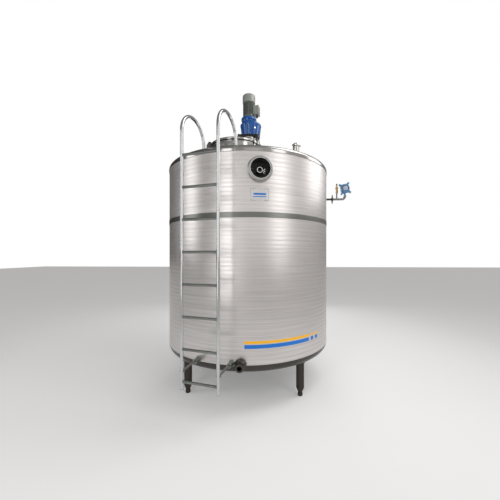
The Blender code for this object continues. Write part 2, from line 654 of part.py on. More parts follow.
def make_motor(tank):
    base = GEARBOX_TOP_Z + GAP
    cowl = MOTOR_COWL_Z
    body = [(0, cowl - GAP), (MOTOR_R, cowl - GAP), (MOTOR_R, base + MOTOR_FOOT_H),
            (MOTOR_COWL_R, base + MOTOR_FOOT_H * 0.6), (MOTOR_COWL_R, base), (0, base)]
    turned_part("motor", body, GREY_GREEN, tank, 32)
    cover = [(0, MOTOR_TOP_Z), (MOTOR_COWL_R - 0.016, MOTOR_TOP_Z),
             (MOTOR_COWL_R - 0.004, MOTOR_TOP_Z - 0.006), (MOTOR_COWL_R, MOTOR_TOP_Z - 0.018),
             (MOTOR_COWL_R, cowl), (0, cowl)]
    turned_part("motor_fan_cover", cover, GREY_GREEN, tank, 32)
    width, depth, height = TERMINAL_BOX
    turn = (0, 0, radians(TERMINAL_BOX_ANGLE))
    case = add_part("terminal_box", block(width, depth, height), GREY_GREEN, tank,
                    around(TERMINAL_BOX_ANGLE, MOTOR_R - 0.010 + depth / 2, TERMINAL_BOX_Z), turn)
    combine(case, add_tool("motor_room", rod(MOTOR_R + GAP, 1.0, 32), tank, (0, 0, base - 0.2)))


def make_port(tank, wall):
    """Round neck through the wall, closed by a recessed plate that carries a nozzle."""
    place, turn = (0, 0, PORT_Z), outward(PORT_ANGLE)
    front = TANK_R + PORT_REACH
    neck = [(PORT_LIP_R, front), (PORT_BASE_R, TANK_R + 0.014), (PORT_BASE_R, INNER_R),
            (PORT_BORE_R, INNER_R), (PORT_BORE_R, front)]
    turned_part("port_neck", neck, STAINLESS, tank, 32, closed=True, location=place, turn=turn)
    plate_front = INNER_R + PORT_PLATE_T
    add_part("port_plate", rod(PORT_BORE_R - GAP, PORT_PLATE_T, 32), PORT_DARK, tank,
             around(PORT_ANGLE, INNER_R, PORT_Z), turn)
    tip = plate_front + PORT_NOZZLE_REACH
    lip_t, lip_w = 0.012, 0.007
    tube_r = PORT_NOZZLE_R - lip_w
    nozzle = [(0, plate_front + lip_t / 2), (PORT_NOZZLE_BORE_R, plate_front + lip_t / 2),
              (PORT_NOZZLE_BORE_R, tip), (PORT_NOZZLE_R, tip), (PORT_NOZZLE_R, tip - lip_t),
              (tube_r, tip - 1.5 * lip_t), (tube_r, plate_front + GAP), (0, plate_front + GAP)]
    turned_part("port_nozzle", nozzle, POLISHED, tank, 24,
                location=(0, 0, PORT_Z - PORT_NOZZLE_DROP), turn=turn)
    hole = add_tool("port_hole", rod(PORT_BASE_R + GAP, 0.4, 32), tank,
                    around(PORT_ANGLE, INNER_R - 0.2, PORT_Z), turn)
    combine(wall, hole)


def make_outlet(tank, wall, bottom):
    place, turn = (0, 0, OUTLET_Z), outward(OUTLET_ANGLE)
    tip, back = TANK_R + OUTLET_REACH, INNER_R - OUTLET_DEPTH
    outline = [(OUTLET_R, tip), (OUTLET_R, tip - OUTLET_LIP_T), (OUTLET_TUBE_R, tip - OUTLET_LIP_T - 0.006),
               (OUTLET_TUBE_R, TANK_R + OUTLET_COLLAR_REACH + 0.02),
               (OUTLET_COLLAR_R, TANK_R + OUTLET_COLLAR_REACH), (OUTLET_COLLAR_R, back),
               (OUTLET_BORE_R, back), (OUTLET_BORE_R, tip)]
    turned_part("outlet_nozzle", outline, DARK_STEEL, tank, 28, closed=True, location=place, turn=turn)
    room = add_tool("outlet_room", rod(OUTLET_COLLAR_R + GAP, 0.4, 28), tank,
                    around(OUTLET_ANGLE, back - OUTLET_TROUGH, OUTLET_Z), turn)
    combine(wall, room)
    combine(bottom, room)


def make_vent(tank, roof_cutter):
    """Capped nozzle that stands square to the roof, closed by a clamp."""
    drop = (ROOF_TANGENT_R - VENT_PLACE_R) * tan(ROOF_SLOPE)
    base = make_empty("vent_base", tank, around(VENT_ANGLE, VENT_PLACE_R, ROOF_TANGENT_Z + drop),
                      (ROOF_SLOPE, 0, radians(VENT_ANGLE)))
    nozzle = [(0, VENT_H), (VENT_FERRULE_R, VENT_H), (VENT_FERRULE_R, VENT_H - VENT_FERRULE_T),
              (VENT_R, VENT_H - VENT_FERRULE_T - 0.008), (VENT_R, -VENT_SINK), (0, -VENT_SINK)]
    combine(turned_part("vent_nozzle", nozzle, STAINLESS, base, 28), roof_cutter)
    cap_base = VENT_H + GAP
    cap = [(0, cap_base + VENT_CAP_H), (VENT_FERRULE_R - 0.010, cap_base + VENT_CAP_H),
           (VENT_FERRULE_R, cap_base + VENT_CAP_H * 0.5), (VENT_FERRULE_R, cap_base), (0, cap_base)]
    turned_part("vent_cap", cap, POLISHED, base, 28)
    low, high = VENT_H - VENT_CLAMP_H / 2, VENT_H + VENT_CLAMP_H * 0.3
    inside = VENT_FERRULE_R + GAP
    clamp = [(VENT_CLAMP_R, high), (VENT_CLAMP_R, low), (inside, low), (inside, high)]
    ring = turned_part("vent_clamp", clamp, POLISHED, base, 28, closed=True)
    wing = add_tool("vent_clamp_wing", block(VENT_WING_L, 0.018, VENT_CLAMP_H * 0.75), base,
                    (VENT_CLAMP_R + 0.4 * VENT_WING_L, 0, (low + high) / 2))
    combine(ring, wing, "UNION")


def make_ladder(tank, roof_cutter, shell_cutter):
    """Two rails that bend over onto the roof, their rungs, and the struts at their feet."""
    frame = make_empty("ladder_frame", tank, turn=(0, 0, radians(LADDER_ANGLE)))
    y = -LADDER_PLACE_R
    hoop = [(y + HOOP_R - HOOP_R * cos(a), HOOP_SPRING_Z + HOOP_R * sin(a))
            for a in [radians(180 * step / 14) for step in range(15)]]
    line = [(y, LADDER_FOOT_Z)] + hoop + [(y + 2 * HOOP_R, ROOF_TANGENT_Z - 0.04)]
    for side, sign in (("left", -1), ("right", 1)):
        x = sign * LADDER_W / 2
        rail = bent_tube("rail_" + side, [(x, py, pz) for py, pz in line], RAIL_R, DARK_STEEL, frame)
        combine(rail, roof_cutter)
        make_strut(frame, side, x, shell_cutter)
    rails = [add_tool("rail_room_" + side, rod(RAIL_R + GAP, 3.0, 20), frame, (sign * LADDER_W / 2, y, 0))
             for side, sign in (("left", -1), ("right", 1))]
    for index in range(RUNG_COUNT):
        rung = add_part("rung_%d" % (index + 1), rod(RUNG_R, LADDER_W, 16, from_centre=True), DARK_STEEL,
                        frame, (0, y, RUNG_FIRST_Z + index * RUNG_PITCH), (0, pi / 2, 0))
        for room in rails:
            combine(rung, room)


def make_strut(frame, side, x, shell_cutter):
    """A level strut from a rail to its socket on the cladding."""
    surface = (TANK_R ** 2 - x ** 2) ** 0.5
    socket_end = surface + SOCKET_REACH
    socket_start = surface - 0.03
    socket = add_part("strut_socket_" + side, rod(SOCKET_R, socket_end - socket_start, 20), DARK_STEEL,
                      frame, (x, -socket_start, STRUT_Z), (pi / 2, 0, 0))
    combine(socket, shell_cutter)
    start, end = socket_end + GAP, LADDER_PLACE_R
    strut = add_part("strut_" + side, rod(STRUT_R, end - start, 16), DARK_STEEL, frame,
                     (x, -start, STRUT_Z), (pi / 2, 0, 0))
    combine(strut, add_tool("strut_room_" + side, rod(RAIL_R + GAP, 0.2, 20, from_centre=True), frame,
                            (x, -LADDER_PLACE_R, STRUT_Z)))


def make_gauge(tank, shell_cutter):
    """Level gauge on a side nozzle: clamp joint, pipe, relief fitting and transmitter head."""
    right = outward(90)
    joint = TANK_R + GAUGE_NOZZLE_REACH
    stub = [(0, joint), (GAUGE_FERRULE_R, joint), (GAUGE_FERRULE_R, joint - 0.006),
            (GAUGE_PIPE_R, joint - 0.012), (GAUGE_PIPE_R, TANK_R - 0.02), (0, TANK_R - 0.02)]
    combine(turned_part("gauge_nozzle", stub, STAINLESS, tank, 20, location=(0, 0, GAUGE_Z), turn=right),
            shell_cutter)
    low, high = joint - GAUGE_CLAMP_W / 2, joint + GAUGE_CLAMP_W / 2
    inside = GAUGE_FERRULE_R + GAP
    ring = [(GAUGE_CLAMP_R, high), (GAUGE_CLAMP_R, low), (inside, low), (inside, high)]
    clamp = turned_part("gauge_clamp", ring, POLISHED, tank, 24, closed=True,
                        location=(0, 0, GAUGE_Z), turn=right)
    wing_length = GAUGE_WING_REACH - GAUGE_CLAMP_R + 0.003
    for side, sign in (("top", 1), ("foot", -1)):
        wing = add_tool("gauge_clamp_wing_" + side, block(0.014, 0.016, wing_length), tank,
                        (joint, 0, GAUGE_Z + sign * (GAUGE_WING_REACH - wing_length / 2)))
        combine(clamp, wing, "UNION")
    make_gauge_pipe(tank, joint)
    make_gauge_head(tank)


def make_gauge_pipe(tank, joint):
    start = joint + GAP
    bend_x, bend_z = GAUGE_ELBOW_X - GAUGE_BEND_R, GAUGE_Z + GAUGE_BEND_R
    bend = [(bend_x + GAUGE_BEND_R * sin(a), bend_z - GAUGE_BEND_R * cos(a))
            for a in [radians(90 * step / 6) for step in range(7)]]
    line = [(start, GAUGE_Z)] + bend + [(GAUGE_ELBOW_X, GAUGE_PIPE_TOP_Z)]
    pipe = bent_tube("gauge_pipe", [(x, 0, z) for x, z in line], GAUGE_PIPE_R, STAINLESS, tank)
    ferrule = add_tool("gauge_pipe_ferrule", rod(GAUGE_FERRULE_R, 0.006, 20), tank,
                       (start, 0, GAUGE_Z), (0, pi / 2, 0))
    combine(pipe, ferrule, "UNION")
    branch_start = GAUGE_Z - 0.001
    branch = add_part("gauge_branch", rod(GAUGE_PIPE_R, GAUGE_TEE_TOP_Z - branch_start, 20), STAINLESS, tank,
                      (GAUGE_TEE_X, 0, branch_start))
    combine(branch, add_tool("gauge_pipe_room", rod(GAUGE_PIPE_R + GAP, 0.10, 24, from_centre=True), tank,
                             (GAUGE_TEE_X, 0, GAUGE_Z), (0, pi / 2, 0)))
    base = GAUGE_TEE_TOP_Z + GAP
    steps = ((0.6, 1.00), (0.6, 0.62), (1.0, 0.60), (1.0, 0.42), (0.7, 0.40), (0.7, 0.30), (1.0, 0.28),
             (1.0, 0.00))
    relief = [(0, base + RELIEF_H)]
    relief += [(RELIEF_R * width, base + RELIEF_H * height) for width, height in steps] + [(0, base)]
    turned_part("relief_fitting", relief, BRASS, tank, 12, location=(GAUGE_TEE_X, 0, 0))


def make_gauge_head(tank):
    """Round transmitter head facing the front, on a leaning plate with four lugs."""
    centre = make_empty("gauge_head_centre", tank, (HEAD_X, 0, HEAD_Z), (pi / 2, -HEAD_LEAN, 0))
    half = HEAD_W / 2
    drum = [(0, half), (HEAD_R - 0.010, half), (HEAD_R, half - 0.010), (HEAD_R, -half + 0.010),
            (HEAD_R - 0.010, -half), (0, -half)]
    head = turned_part("transmitter_head", drum, PALE_BLUE, centre, 32)
    plate = add_tool("head_plate", block(2 * HEAD_LUG_X, 2 * HEAD_LUG_Z, HEAD_PLATE_T), centre)
    combine(head, plate, "UNION")
    for index, (x, y) in enumerate(((1, 1), (-1, 1), (-1, -1), (1, -1))):
        lug = add_tool("head_lug_%d" % index, rod(HEAD_LUG_R, HEAD_PLATE_T + 0.008, 16, from_centre=True),
                       centre, (x * HEAD_LUG_X, y * HEAD_LUG_Z, 0))
        combine(head, lug, "UNION")
    neck_length = HEAD_Z - GAUGE_PIPE_TOP_Z - GAP
    neck = add_part("transmitter_neck", rod(HEAD_NECK_R, neck_length, 16), PALE_BLUE, tank,
                    (GAUGE_ELBOW_X, 0, GAUGE_PIPE_TOP_Z + GAP))
    combine(neck, add_tool("head_room", rod(HEAD_R + GAP, 2 * HEAD_W, 32, from_centre=True), centre))
    plate_room = block(2 * (HEAD_LUG_X + GAP), 2 * (HEAD_LUG_Z + GAP), HEAD_PLATE_T + 2 * GAP)
    combine(neck, add_tool("plate_room", plate_room, centre))


def make_nameplate(tank):
    """Thin plate bent to the cladding."""
    outside, inside = TANK_R + PLATE_T, TANK_R + GAP
    low, high = PLATE_Z - PLATE_H / 2, PLATE_Z + PLATE_H / 2
    outline = [(outside, high), (outside, low), (inside, low), (inside, high)]
    plate = turned_part("nameplate", outline, PLATE_SILVER, tank, SHELL_SIDES * 2, closed=True)
    room = add_tool("nameplate_room", block(PLATE_W, 0.4, 2 * PLATE_H), tank,
                    around(PLATE_ANGLE, TANK_R, PLATE_Z), (0, 0, radians(PLATE_ANGLE)))
    combine(plate, room, "INTERSECT")


def main():
    tank = make_empty("tank_axis", location=(AXIS_X, AXIS_Y, 0))
    cutter = roof_outline(GAP) + [(ROOF_R + GAP, BODY_BASE_Z), (0, BODY_BASE_Z)]
    roof_cutter = turned_tool("roof_room", cutter, tank, SHELL_SIDES)
    reach, low = TANK_R + GAP, BODY_BASE_Z / 2
    shell = [(0, BODY_TOP_Z), (reach, BODY_TOP_Z), (reach, low), (0, low)]
    shell_cutter = turned_tool("shell_room", shell, tank, SHELL_SIDES)
    walls = make_courses(tank)
    make_band(tank)
    make_roof(tank)
    bottom = make_bottom(tank)
    make_legs(tank)
    make_lid(make_manway(tank))
    make_agitator(tank, roof_cutter)
    make_port(tank, walls["upper_wall_front"])
    make_outlet(tank, walls["lower_wall_front"], bottom)
    make_vent(tank, roof_cutter)
    make_ladder(tank, roof_cutter, shell_cutter)
    make_gauge(tank, shell_cutter)
    make_nameplate(tank)
    bpy.context.view_layer.update()


clear_scene()
PARTS = new_collection("dairy_storage_tank")
TOOLS = new_collection("cutters")
main()
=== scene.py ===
from math import asin, atan2, cos, degrees, hypot, pi, radians, sin, tan

import bmesh
import bpy
import numpy as np
from mathutils import Matrix, Vector


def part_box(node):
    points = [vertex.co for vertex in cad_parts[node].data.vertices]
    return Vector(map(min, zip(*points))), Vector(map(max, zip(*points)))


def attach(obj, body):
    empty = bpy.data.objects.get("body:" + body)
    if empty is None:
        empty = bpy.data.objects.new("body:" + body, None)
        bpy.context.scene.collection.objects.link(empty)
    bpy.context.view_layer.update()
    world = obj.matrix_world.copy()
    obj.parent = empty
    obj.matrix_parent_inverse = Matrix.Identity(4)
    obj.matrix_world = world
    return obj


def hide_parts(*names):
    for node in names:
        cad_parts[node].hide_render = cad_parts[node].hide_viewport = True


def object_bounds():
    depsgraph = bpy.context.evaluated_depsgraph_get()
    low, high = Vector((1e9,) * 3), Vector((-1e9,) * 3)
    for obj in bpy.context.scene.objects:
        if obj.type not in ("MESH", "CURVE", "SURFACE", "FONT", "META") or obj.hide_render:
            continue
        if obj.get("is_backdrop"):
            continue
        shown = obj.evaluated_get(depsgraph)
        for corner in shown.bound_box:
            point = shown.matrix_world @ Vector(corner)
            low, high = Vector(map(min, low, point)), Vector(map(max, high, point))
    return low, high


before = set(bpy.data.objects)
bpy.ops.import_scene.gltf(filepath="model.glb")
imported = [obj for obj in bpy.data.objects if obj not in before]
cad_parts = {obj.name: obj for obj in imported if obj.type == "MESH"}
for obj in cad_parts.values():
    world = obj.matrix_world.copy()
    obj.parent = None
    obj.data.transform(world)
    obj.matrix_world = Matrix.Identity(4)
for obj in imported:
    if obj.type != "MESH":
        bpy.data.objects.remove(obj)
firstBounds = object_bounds()
print("frame loaded")


# places and sizes are read from the frame's nodes

def middle(node):
    low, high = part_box(node)
    return (low + high) / 2


def span(node):
    low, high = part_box(node)
    return high - low


def lowZ(node):
    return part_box(node)[0].z


def highZ(node):
    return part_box(node)[1].z


def move(x=0.0, y=0.0, z=0.0):
    return Matrix.Translation((x, y, z))


def rotate(angle, axis="Z"):
    return Matrix.Rotation(angle, 4, axis)


axisX, axisY = middle("bottom").x, middle("bottom").y
tankR = span("bottom").x / 2
tankAxis = move(axisX, axisY)


def bearing(node):
    # degrees round the tank from the front to a node's middle
    here = middle(node)
    return degrees(atan2(here.x - axisX, axisY - here.y))


def aroundTank(angle, radius, height, lean=0.0):
    # a place round the tank, turned with its angle and leaning about its local X
    return tankAxis @ rotate(radians(angle)) @ move(0, -radius, height) @ rotate(lean, "X")


def outwards(angle, radius, height):
    # local +Z points out of the tank and +Y up
    return aroundTank(angle, radius, height, pi / 2)


def upright(node):
    return move(middle(node).x, middle(node).y)


# surfaces: each is a pair of points and faces

def gridFaces(rows, columns, ring=True, path=False):
    # point (i, j) joins (i, j+1), (i+1, j+1) and (i+1, j); ring and path close the two directions
    index = np.arange(rows * columns).reshape(rows, columns)
    if ring:
        index = np.concatenate([index, index[:, :1]], 1)
    if path:
        index = np.concatenate([index, index[:1]], 0)
    return np.stack([index[:-1, :-1], index[:-1, 1:], index[1:, 1:], index[1:, :-1]], -1)


def loft(loops, ring=True, path=False, caps=False):
    # rows of points joined in order, with the first and last row filled when caps is true
    rows, columns = loops.shape[:2]
    faces = gridFaces(rows, columns, ring, path).reshape(-1, 4).tolist()
    if caps:
        faces += [list(range(columns)), list(range((rows - 1) * columns, rows * columns))]
    return loops.reshape(-1, 3), faces


def placed(solid, place):
    if place is None:
        return solid
    points, faces = solid
    m = np.array(place)
    return points @ m[:3, :3].T + m[:3, 3], faces


def filleted(corners, radius, steps=4, closed=False):
    # each corner becomes a curve (1-t)^2 a + 2t(1-t) corner + t^2 b between points set back from it
    corner = np.array(corners, float)

    def setBack(other):
        gap = other - corner
        length = np.maximum(np.linalg.norm(gap, axis=1, keepdims=True), 1e-9)
        return corner + gap / length * np.minimum(radius, 0.45 * length)

    a, b = setBack(np.roll(corner, 1, 0)), setBack(np.roll(corner, -1, 0))
    if not closed:
        a[0] = b[0] = corner[0]
        a[-1] = b[-1] = corner[-1]
    t = np.linspace(0, 1, steps + 1)[:, None, None]
    curve = (1 - t) ** 2 * a + 2 * t * (1 - t) * corner + t ** 2 * b
    return curve.transpose(1, 0, 2).reshape(-1, corner.shape[1])


def ringPoints(profile, angles):
    # profile point (r, z) at angle a from the front is (r sin a, -r cos a, z)
    r, z = profile[:, :1], profile[:, 1:2]
    return np.stack([r * np.sin(angles), -r * np.cos(angles), z + 0 * angles], -1)


def turned(profile, sides=64, place=None, fillet=0.0, closed=False, start=0.0, sweep=360.0, steps=4):
    # a profile of (r, z) carried round the Z axis, closed into a ring when closed is true
    profile = np.array(profile, float)
    if fillet:
        profile = filleted(profile, fillet, steps, closed)
    angles = radians(start) + np.linspace(0, radians(sweep), sides + 1)
    if sweep < 360:
        loops = ringPoints(profile, angles).transpose(1, 0, 2)
        return placed(loft(loops, ring=closed, caps=True), place)
    return placed(loft(ringPoints(profile, angles[:-1]), path=closed), place)


def disc(radius, low, high):
    # the profile of a plain round solid
    return [(0, low), (radius, low), (radius, high), (0, high)]


def hoop(inside, outside, low, high):
    # the profile of a plain ring, for turned with closed
    return [(outside, low), (outside, high), (inside, high), (inside, low)]


def tube(line, radius, sides=24, closed=False):
    # rings square to a flat line: the line's direction, its plane's normal, and the cross of the two
    line = np.array(line, float)
    if closed:
        ahead = np.roll(line, -1, 0) - np.roll(line, 1, 0)
        normal = np.cross(line[0] - line.mean(0), line[len(line) // 4] - line.mean(0))
    else:
        ahead = np.gradient(line, axis=0)
        normal = np.cross(line[-1] - line[0], line[len(line) // 2] - line[0])
    ahead /= np.linalg.norm(ahead, axis=1, keepdims=True)
    side = np.cross(ahead, normal / np.linalg.norm(normal))
    side /= np.linalg.norm(side, axis=1, keepdims=True)
    up = np.cross(ahead, side)
    a = np.linspace(0, 2 * pi, sides, endpoint=False)[None, :, None]
    loops = line[:, None] + radius * (np.cos(a) * side[:, None] + np.sin(a) * up[:, None])
    return loft(loops, path=closed, caps=not closed)


def rod(start, end, radius, sides=24, bevel=0.0):
    # a straight round bar, its ends drawn in by a small bevel
    start, end = Vector(start), Vector(end)
    length = (end - start).length
    place = Matrix.Translation(start) @ (end - start).to_track_quat("Z", "Y").to_matrix().to_4x4()
    return turned([(0, 0), (radius - bevel, 0), (radius, bevel), (radius, length - bevel),
                   (radius - bevel, length), (0, length)], sides, place)


def outline(width, depth, corner, steps=5):
    # a rectangle with round corners, in the XY plane
    x, y = width / 2, depth / 2
    flat = filleted([(x, y), (-x, y), (-x, -y), (x, -y)], corner, steps, closed=True)
    return np.concatenate([flat, np.zeros((len(flat), 1))], 1)


def slab(width, depth, height, corner=0.003, edge=0.0015, place=None):
    # a rounded rectangle lofted up its height, drawn in by the edge at both ends
    base = outline(width, depth, corner)
    drawn = base * (1 - 2 * edge / np.array((width, depth, 1.0)))
    top = height / 2
    loops = [drawn - (0, 0, top), base - (0, 0, top - edge), base + (0, 0, top - edge), drawn + (0, 0, top)]
    return placed(loft(np.array(loops), caps=True), place)


def plate(flat, thickness, place=None):
    # a closed outline of (x, y) given a thickness along Z
    flat = np.array(flat, float)
    loops = [np.concatenate([flat, np.full((len(flat), 1), z)], 1) for z in (-thickness / 2, thickness / 2)]
    return placed(loft(np.array(loops), caps=True), place)


def hexBolt(place, radius, height, washer=1.35):
    # a six-sided head with a drawn-in crown, on a round washer, along local +Z
    lift = 0.18 * height
    crown = [(0, 0), (radius, 0), (radius, height * 0.86), (radius * 0.84, height), (0, height)]
    return [turned(crown, 6, place @ move(z=lift)), turned(disc(radius * washer, 0, lift), 20, place)]


def boltRing(centre, radius, count, size, height, start=0.0):
    turns = [rotate(radians(start) + 2 * pi * k / count) for k in range(count)]
    return [part for turn in turns for part in hexBolt(centre @ turn @ move(0, -radius), size, height)]


def withHole(grid, rows, columns, radius, centre, toPlan, fromPlan):
    # a ringed grid with a window left out, and a patch of straight lines in plan from its border to a circle
    keep = np.ones((grid.shape[0] - 1, grid.shape[1]), bool)
    (r0, r1), (c0, c1) = rows, columns
    keep[r0:r1, c0:c1] = False
    ii = [np.full(c1 - c0, r0), np.arange(r0, r1), np.full(c1 - c0, r1), np.arange(r1, r0, -1)]
    jj = [np.arange(c0, c1), np.full(r1 - r0, c1), np.arange(c1, c0, -1), np.full(r1 - r0, c0)]
    border = grid[np.concatenate(ii), np.concatenate(jj)]
    flat = toPlan(border)
    away = flat - centre
    rim = centre + radius * away / np.linalg.norm(away, axis=1, keepdims=True)
    t = np.linspace(0, 1, 7)[:, None, None]
    patch = fromPlan((1 - t) * rim + t * flat)
    patch[-1] = border
    faces = gridFaces(*grid.shape[:2])[keep].tolist()
    return [(grid.reshape(-1, 3), faces), loft(patch)], patch[0]


# finishes: a noise goes round its middle value of 0.5, so most terms below take that off

class Value:
    # one socket; an expression on it adds Math nodes
    def __init__(self, finish, socket):
        self.finish, self.socket = finish, socket

    def math(self, kind, *others):
        return self.finish.math(kind, self, *others)

    def __add__(self, other):
        return self.math("ADD", other)

    def __sub__(self, other):
        return self.math("SUBTRACT", other)

    def __rsub__(self, other):
        return self.finish.math("SUBTRACT", other, self)

    def __mul__(self, other):
        return self.math("MULTIPLY", other)

    def __truediv__(self, other):
        return self.math("DIVIDE", other)

    def __pow__(self, other):
        return self.math("POWER", other)

    __radd__ = __add__
    __rmul__ = __mul__

    def clamped(self, low=0.0, high=1.0):
        return self.math("MAXIMUM", low).math("MINIMUM", high)

    def between(self, low, high, soft=0.001):
        # 1 from low to high, falling to 0 over the width soft on both sides
        rise = ((self - low) / soft + 0.5).clamped()
        fall = ((high - self) / soft + 0.5).clamped()
        return rise * fall


class Finish:
    def __init__(self, name, colour, roughness=0.4, metallic=0.0, **plain):
        self.material = bpy.data.materials.new(name)
        self.material.use_nodes = True
        self.nodes, self.links = self.material.node_tree.nodes, self.material.node_tree.links
        self.shader = self.nodes["Principled BSDF"]
        self.colour, self.roughness = colour, roughness
        self.feed(Base_Color=colour, Roughness=roughness, Metallic=metallic, **plain)

    def node(self, kind, settings=None, inputs=None, output=0):
        made = self.nodes.new("ShaderNode" + kind)
        for key, value in (settings or {}).items():
            setattr(made, key, value)
        for key, value in (inputs or {}).items():
            self.put(made.inputs[key], value)
        return Value(self, made.outputs[output])

    def put(self, socket, value):
        if isinstance(value, Value):
            self.links.new(value.socket, socket)
        elif socket.type == "RGBA":
            socket.default_value = (*value, 1)
        else:
            socket.default_value = value

    def feed(self, **values):
        for name, value in values.items():
            self.put(self.shader.inputs[name.replace("_", " ")], value)

    def math(self, kind, *values):
        return self.node("Math", {"operation": kind}, dict(enumerate(values)))

    def place(self):
        # X, Y and Z of the row frame
        there = self.node("TexCoord", output="Object")
        return [self.node("SeparateXYZ", inputs={0: there}, output=k) for k in range(3)]

    def vector(self, x, y, z):
        return self.node("CombineXYZ", inputs={0: x, 1: y, 2: z})

    def noise(self, vector, scale, detail=3.0, roughness=0.55):
        return self.node("TexNoise", inputs={"Vector": vector, "Scale": scale, "Detail": detail,
                                             "Roughness": roughness})

    def mix(self, factor, a, b, blend="MIX"):
        return self.node("Mix", {"data_type": "RGBA", "blend_type": blend}, {0: factor, 6: a, 7: b},
                         output=2)

    def shade(self, amount):
        # the finish's colour multiplied by a value
        grey = self.node("CombineColor", inputs={0: amount, 1: amount, 2: amount})
        return self.mix(1.0, self.colour, grey, "MULTIPLY")

    def bump(self, height, distance, strength):
        self.feed(Normal=self.node("Bump", inputs={"Height": height, "Distance": distance,
                                                   "Strength": strength}))


def roundTank(f):
    # the way round the tank from the front in radians, and the height
    x, y, z = f.place()
    return (x - axisX).math("ARCTAN2", (y - axisY) * -1.0), z


shellLook = dict(colour=(0.655, 0.628, 0.612), roughness=0.33, metallic=0.92, bandPitch=0.0425,
                 bandWave=0.034, bandDepth=0.128, broad=0.52, streak=0.40, fine=0.10,
                 stripes=[((0.000, 0.175, 0.640), 0.625, 0.663), ((1.0, 0.50, 0.0), 0.672, 0.698)],
                 stripeRuns=[(3.0, 44.5), (46.2, 48.9), (50.8, 53.6)], stripeEdge=0.0015)


def shellFinish():
    # brushed rings: noise stretched far round the tank, over faint bands that wander in height
    look = shellLook
    f = Finish("brushed_cladding", look["colour"], look["roughness"], look["metallic"], Anisotropic=0.45)
    angle, z = roundTank(f)
    around = angle * tankR

    def rings(stretch, rise, scale, detail, rough=0.55):
        return f.noise(f.vector(around * stretch, 0.0, z * rise), scale, detail, rough)

    wander = rings(1.0, 0.7, 1.6, 2.0) - 0.5
    wave = ((z + wander * look["bandWave"]) * (2 * pi / look["bandPitch"])).math("SINE")
    band = (wave * 0.5 + 0.5) ** 3.0
    patchy = rings(0.8, 4.0, 1.4, 3.0)
    long = rings(1.1, 90.0, 2.0, 4.0, 0.65)
    fine = rings(6.0, 420.0, 2.0, 2.0)
    broad = rings(0.55, 34.0, 2.0, 3.0, 0.6)
    grain = (broad - 0.5) * look["broad"] + (long - 0.5) * look["streak"] + (fine - 0.5) * look["fine"]
    steel = f.shade(1.0 + grain - band * patchy * look["bandDepth"])
    turn = angle * (180 / pi)
    runs = sum(turn.between(start, end, 0.08) for start, end in look["stripeRuns"])
    painted = 0.0
    for colour, low, high in look["stripes"]:
        mask = z.between(low, high, look["stripeEdge"]) * runs
        steel = f.mix(mask, steel, colour)
        painted = mask + painted
    f.feed(Base_Color=steel, Metallic=look["metallic"] - look["metallic"] * painted,
           Roughness=look["roughness"] + (patchy - 0.5) * 0.12 + band * 0.07 + (long - 0.5) * 0.10)
    f.bump(long * 0.6 + fine * 0.4 + band * 0.06, 0.0007, 0.22)
    return f.material


def steelFinish(name, colour, roughness, stretch=(60.0, 60.0, 4.0), streak=0.10, blotch=0.16, grit=0.30):
    # satin metal: streaks drawn out along one direction, and cloudy handling marks
    f = Finish(name, colour, roughness, 1.0)
    x, y, z = f.place()
    grain = f.noise(f.vector(x * stretch[0], y * stretch[1], z * stretch[2]), 3.0)
    cloud = f.noise(f.vector(x, y, z), 5.0)
    f.feed(Base_Color=f.shade(1.0 + (grain - 0.5) * streak * 2 + (cloud - 0.5) * blotch * 2),
           Roughness=roughness + (cloud - 0.5) * 0.16 + (grain - 0.5) * 0.10)
    f.bump(grain, 0.0003, grit)
    return f.material


def hoopFinish(name, colour, roughness, streak=0.18, pitch=160.0):
    # steel brushed round the tank: streaks by distance from the axis and height, and clouds
    f = Finish(name, colour, roughness, 1.0)
    x, y, z = f.place()
    far = ((x - axisX) ** 2.0 + (y - axisY) ** 2.0) ** 0.5
    rings = f.noise(f.vector(roundTank(f)[0] * 1.2, far * pitch, z * pitch), 1.0)
    cloud = f.noise(f.vector(x, y, z), 3.2)
    f.feed(Base_Color=f.shade(1.0 + (rings - 0.5) * streak * 2 + (cloud - 0.5) * 0.3),
           Roughness=roughness + (cloud - 0.5) * 0.18 + (rings - 0.5) * 0.12)
    f.bump(rings, 0.0004, 0.30)
    return f.material


def enamelFinish(name, colour, roughness, coat, wear, dust=0.10):
    # paint on a casting: orange peel, thin dust on it, and dull specks
    f = Finish(name, colour, roughness, Coat_Roughness=0.2, Specular_IOR_Level=0.32)
    here = f.vector(*f.place())
    cloud = f.noise(here, 14.0, 4.0, 0.6)
    specks = (f.noise(here, 95.0, 2.0) - 0.66).clamped(0.0, 0.1) * 6.0
    tone = f.shade(1.0 + (cloud - 0.5) * dust * 3)
    f.feed(Base_Color=f.mix(specks, tone, wear), Roughness=roughness + (cloud - 0.5) * 0.25,
           Coat_Weight=(coat - specks * 0.3).clamped())
    f.bump(f.noise(here, 240.0, 2.0), 0.0004, 0.25)
    return f.material


def rubberFinish():
    f = Finish("gasket_rubber", (0.020, 0.020, 0.021), 0.7)
    mottle = f.noise(f.vector(*f.place()), 70.0)
    f.feed(Base_Color=f.shade(0.8 + mottle * 0.5), Roughness=0.6 + mottle * 0.2)
    f.bump(mottle, 0.0004, 0.3)
    return f.material


nameplate = dict(angle=11.5, width=0.185, corner=0.010, rivet=0.0045, lineOut=0.003, lineIn=0.006,
                 line=(0.16, 0.18, 0.20), ink=(0.0, 0.16, 0.58),
                 bars=[(-0.004, 0.014, 0.060), (-0.024, -0.016, 0.066)])


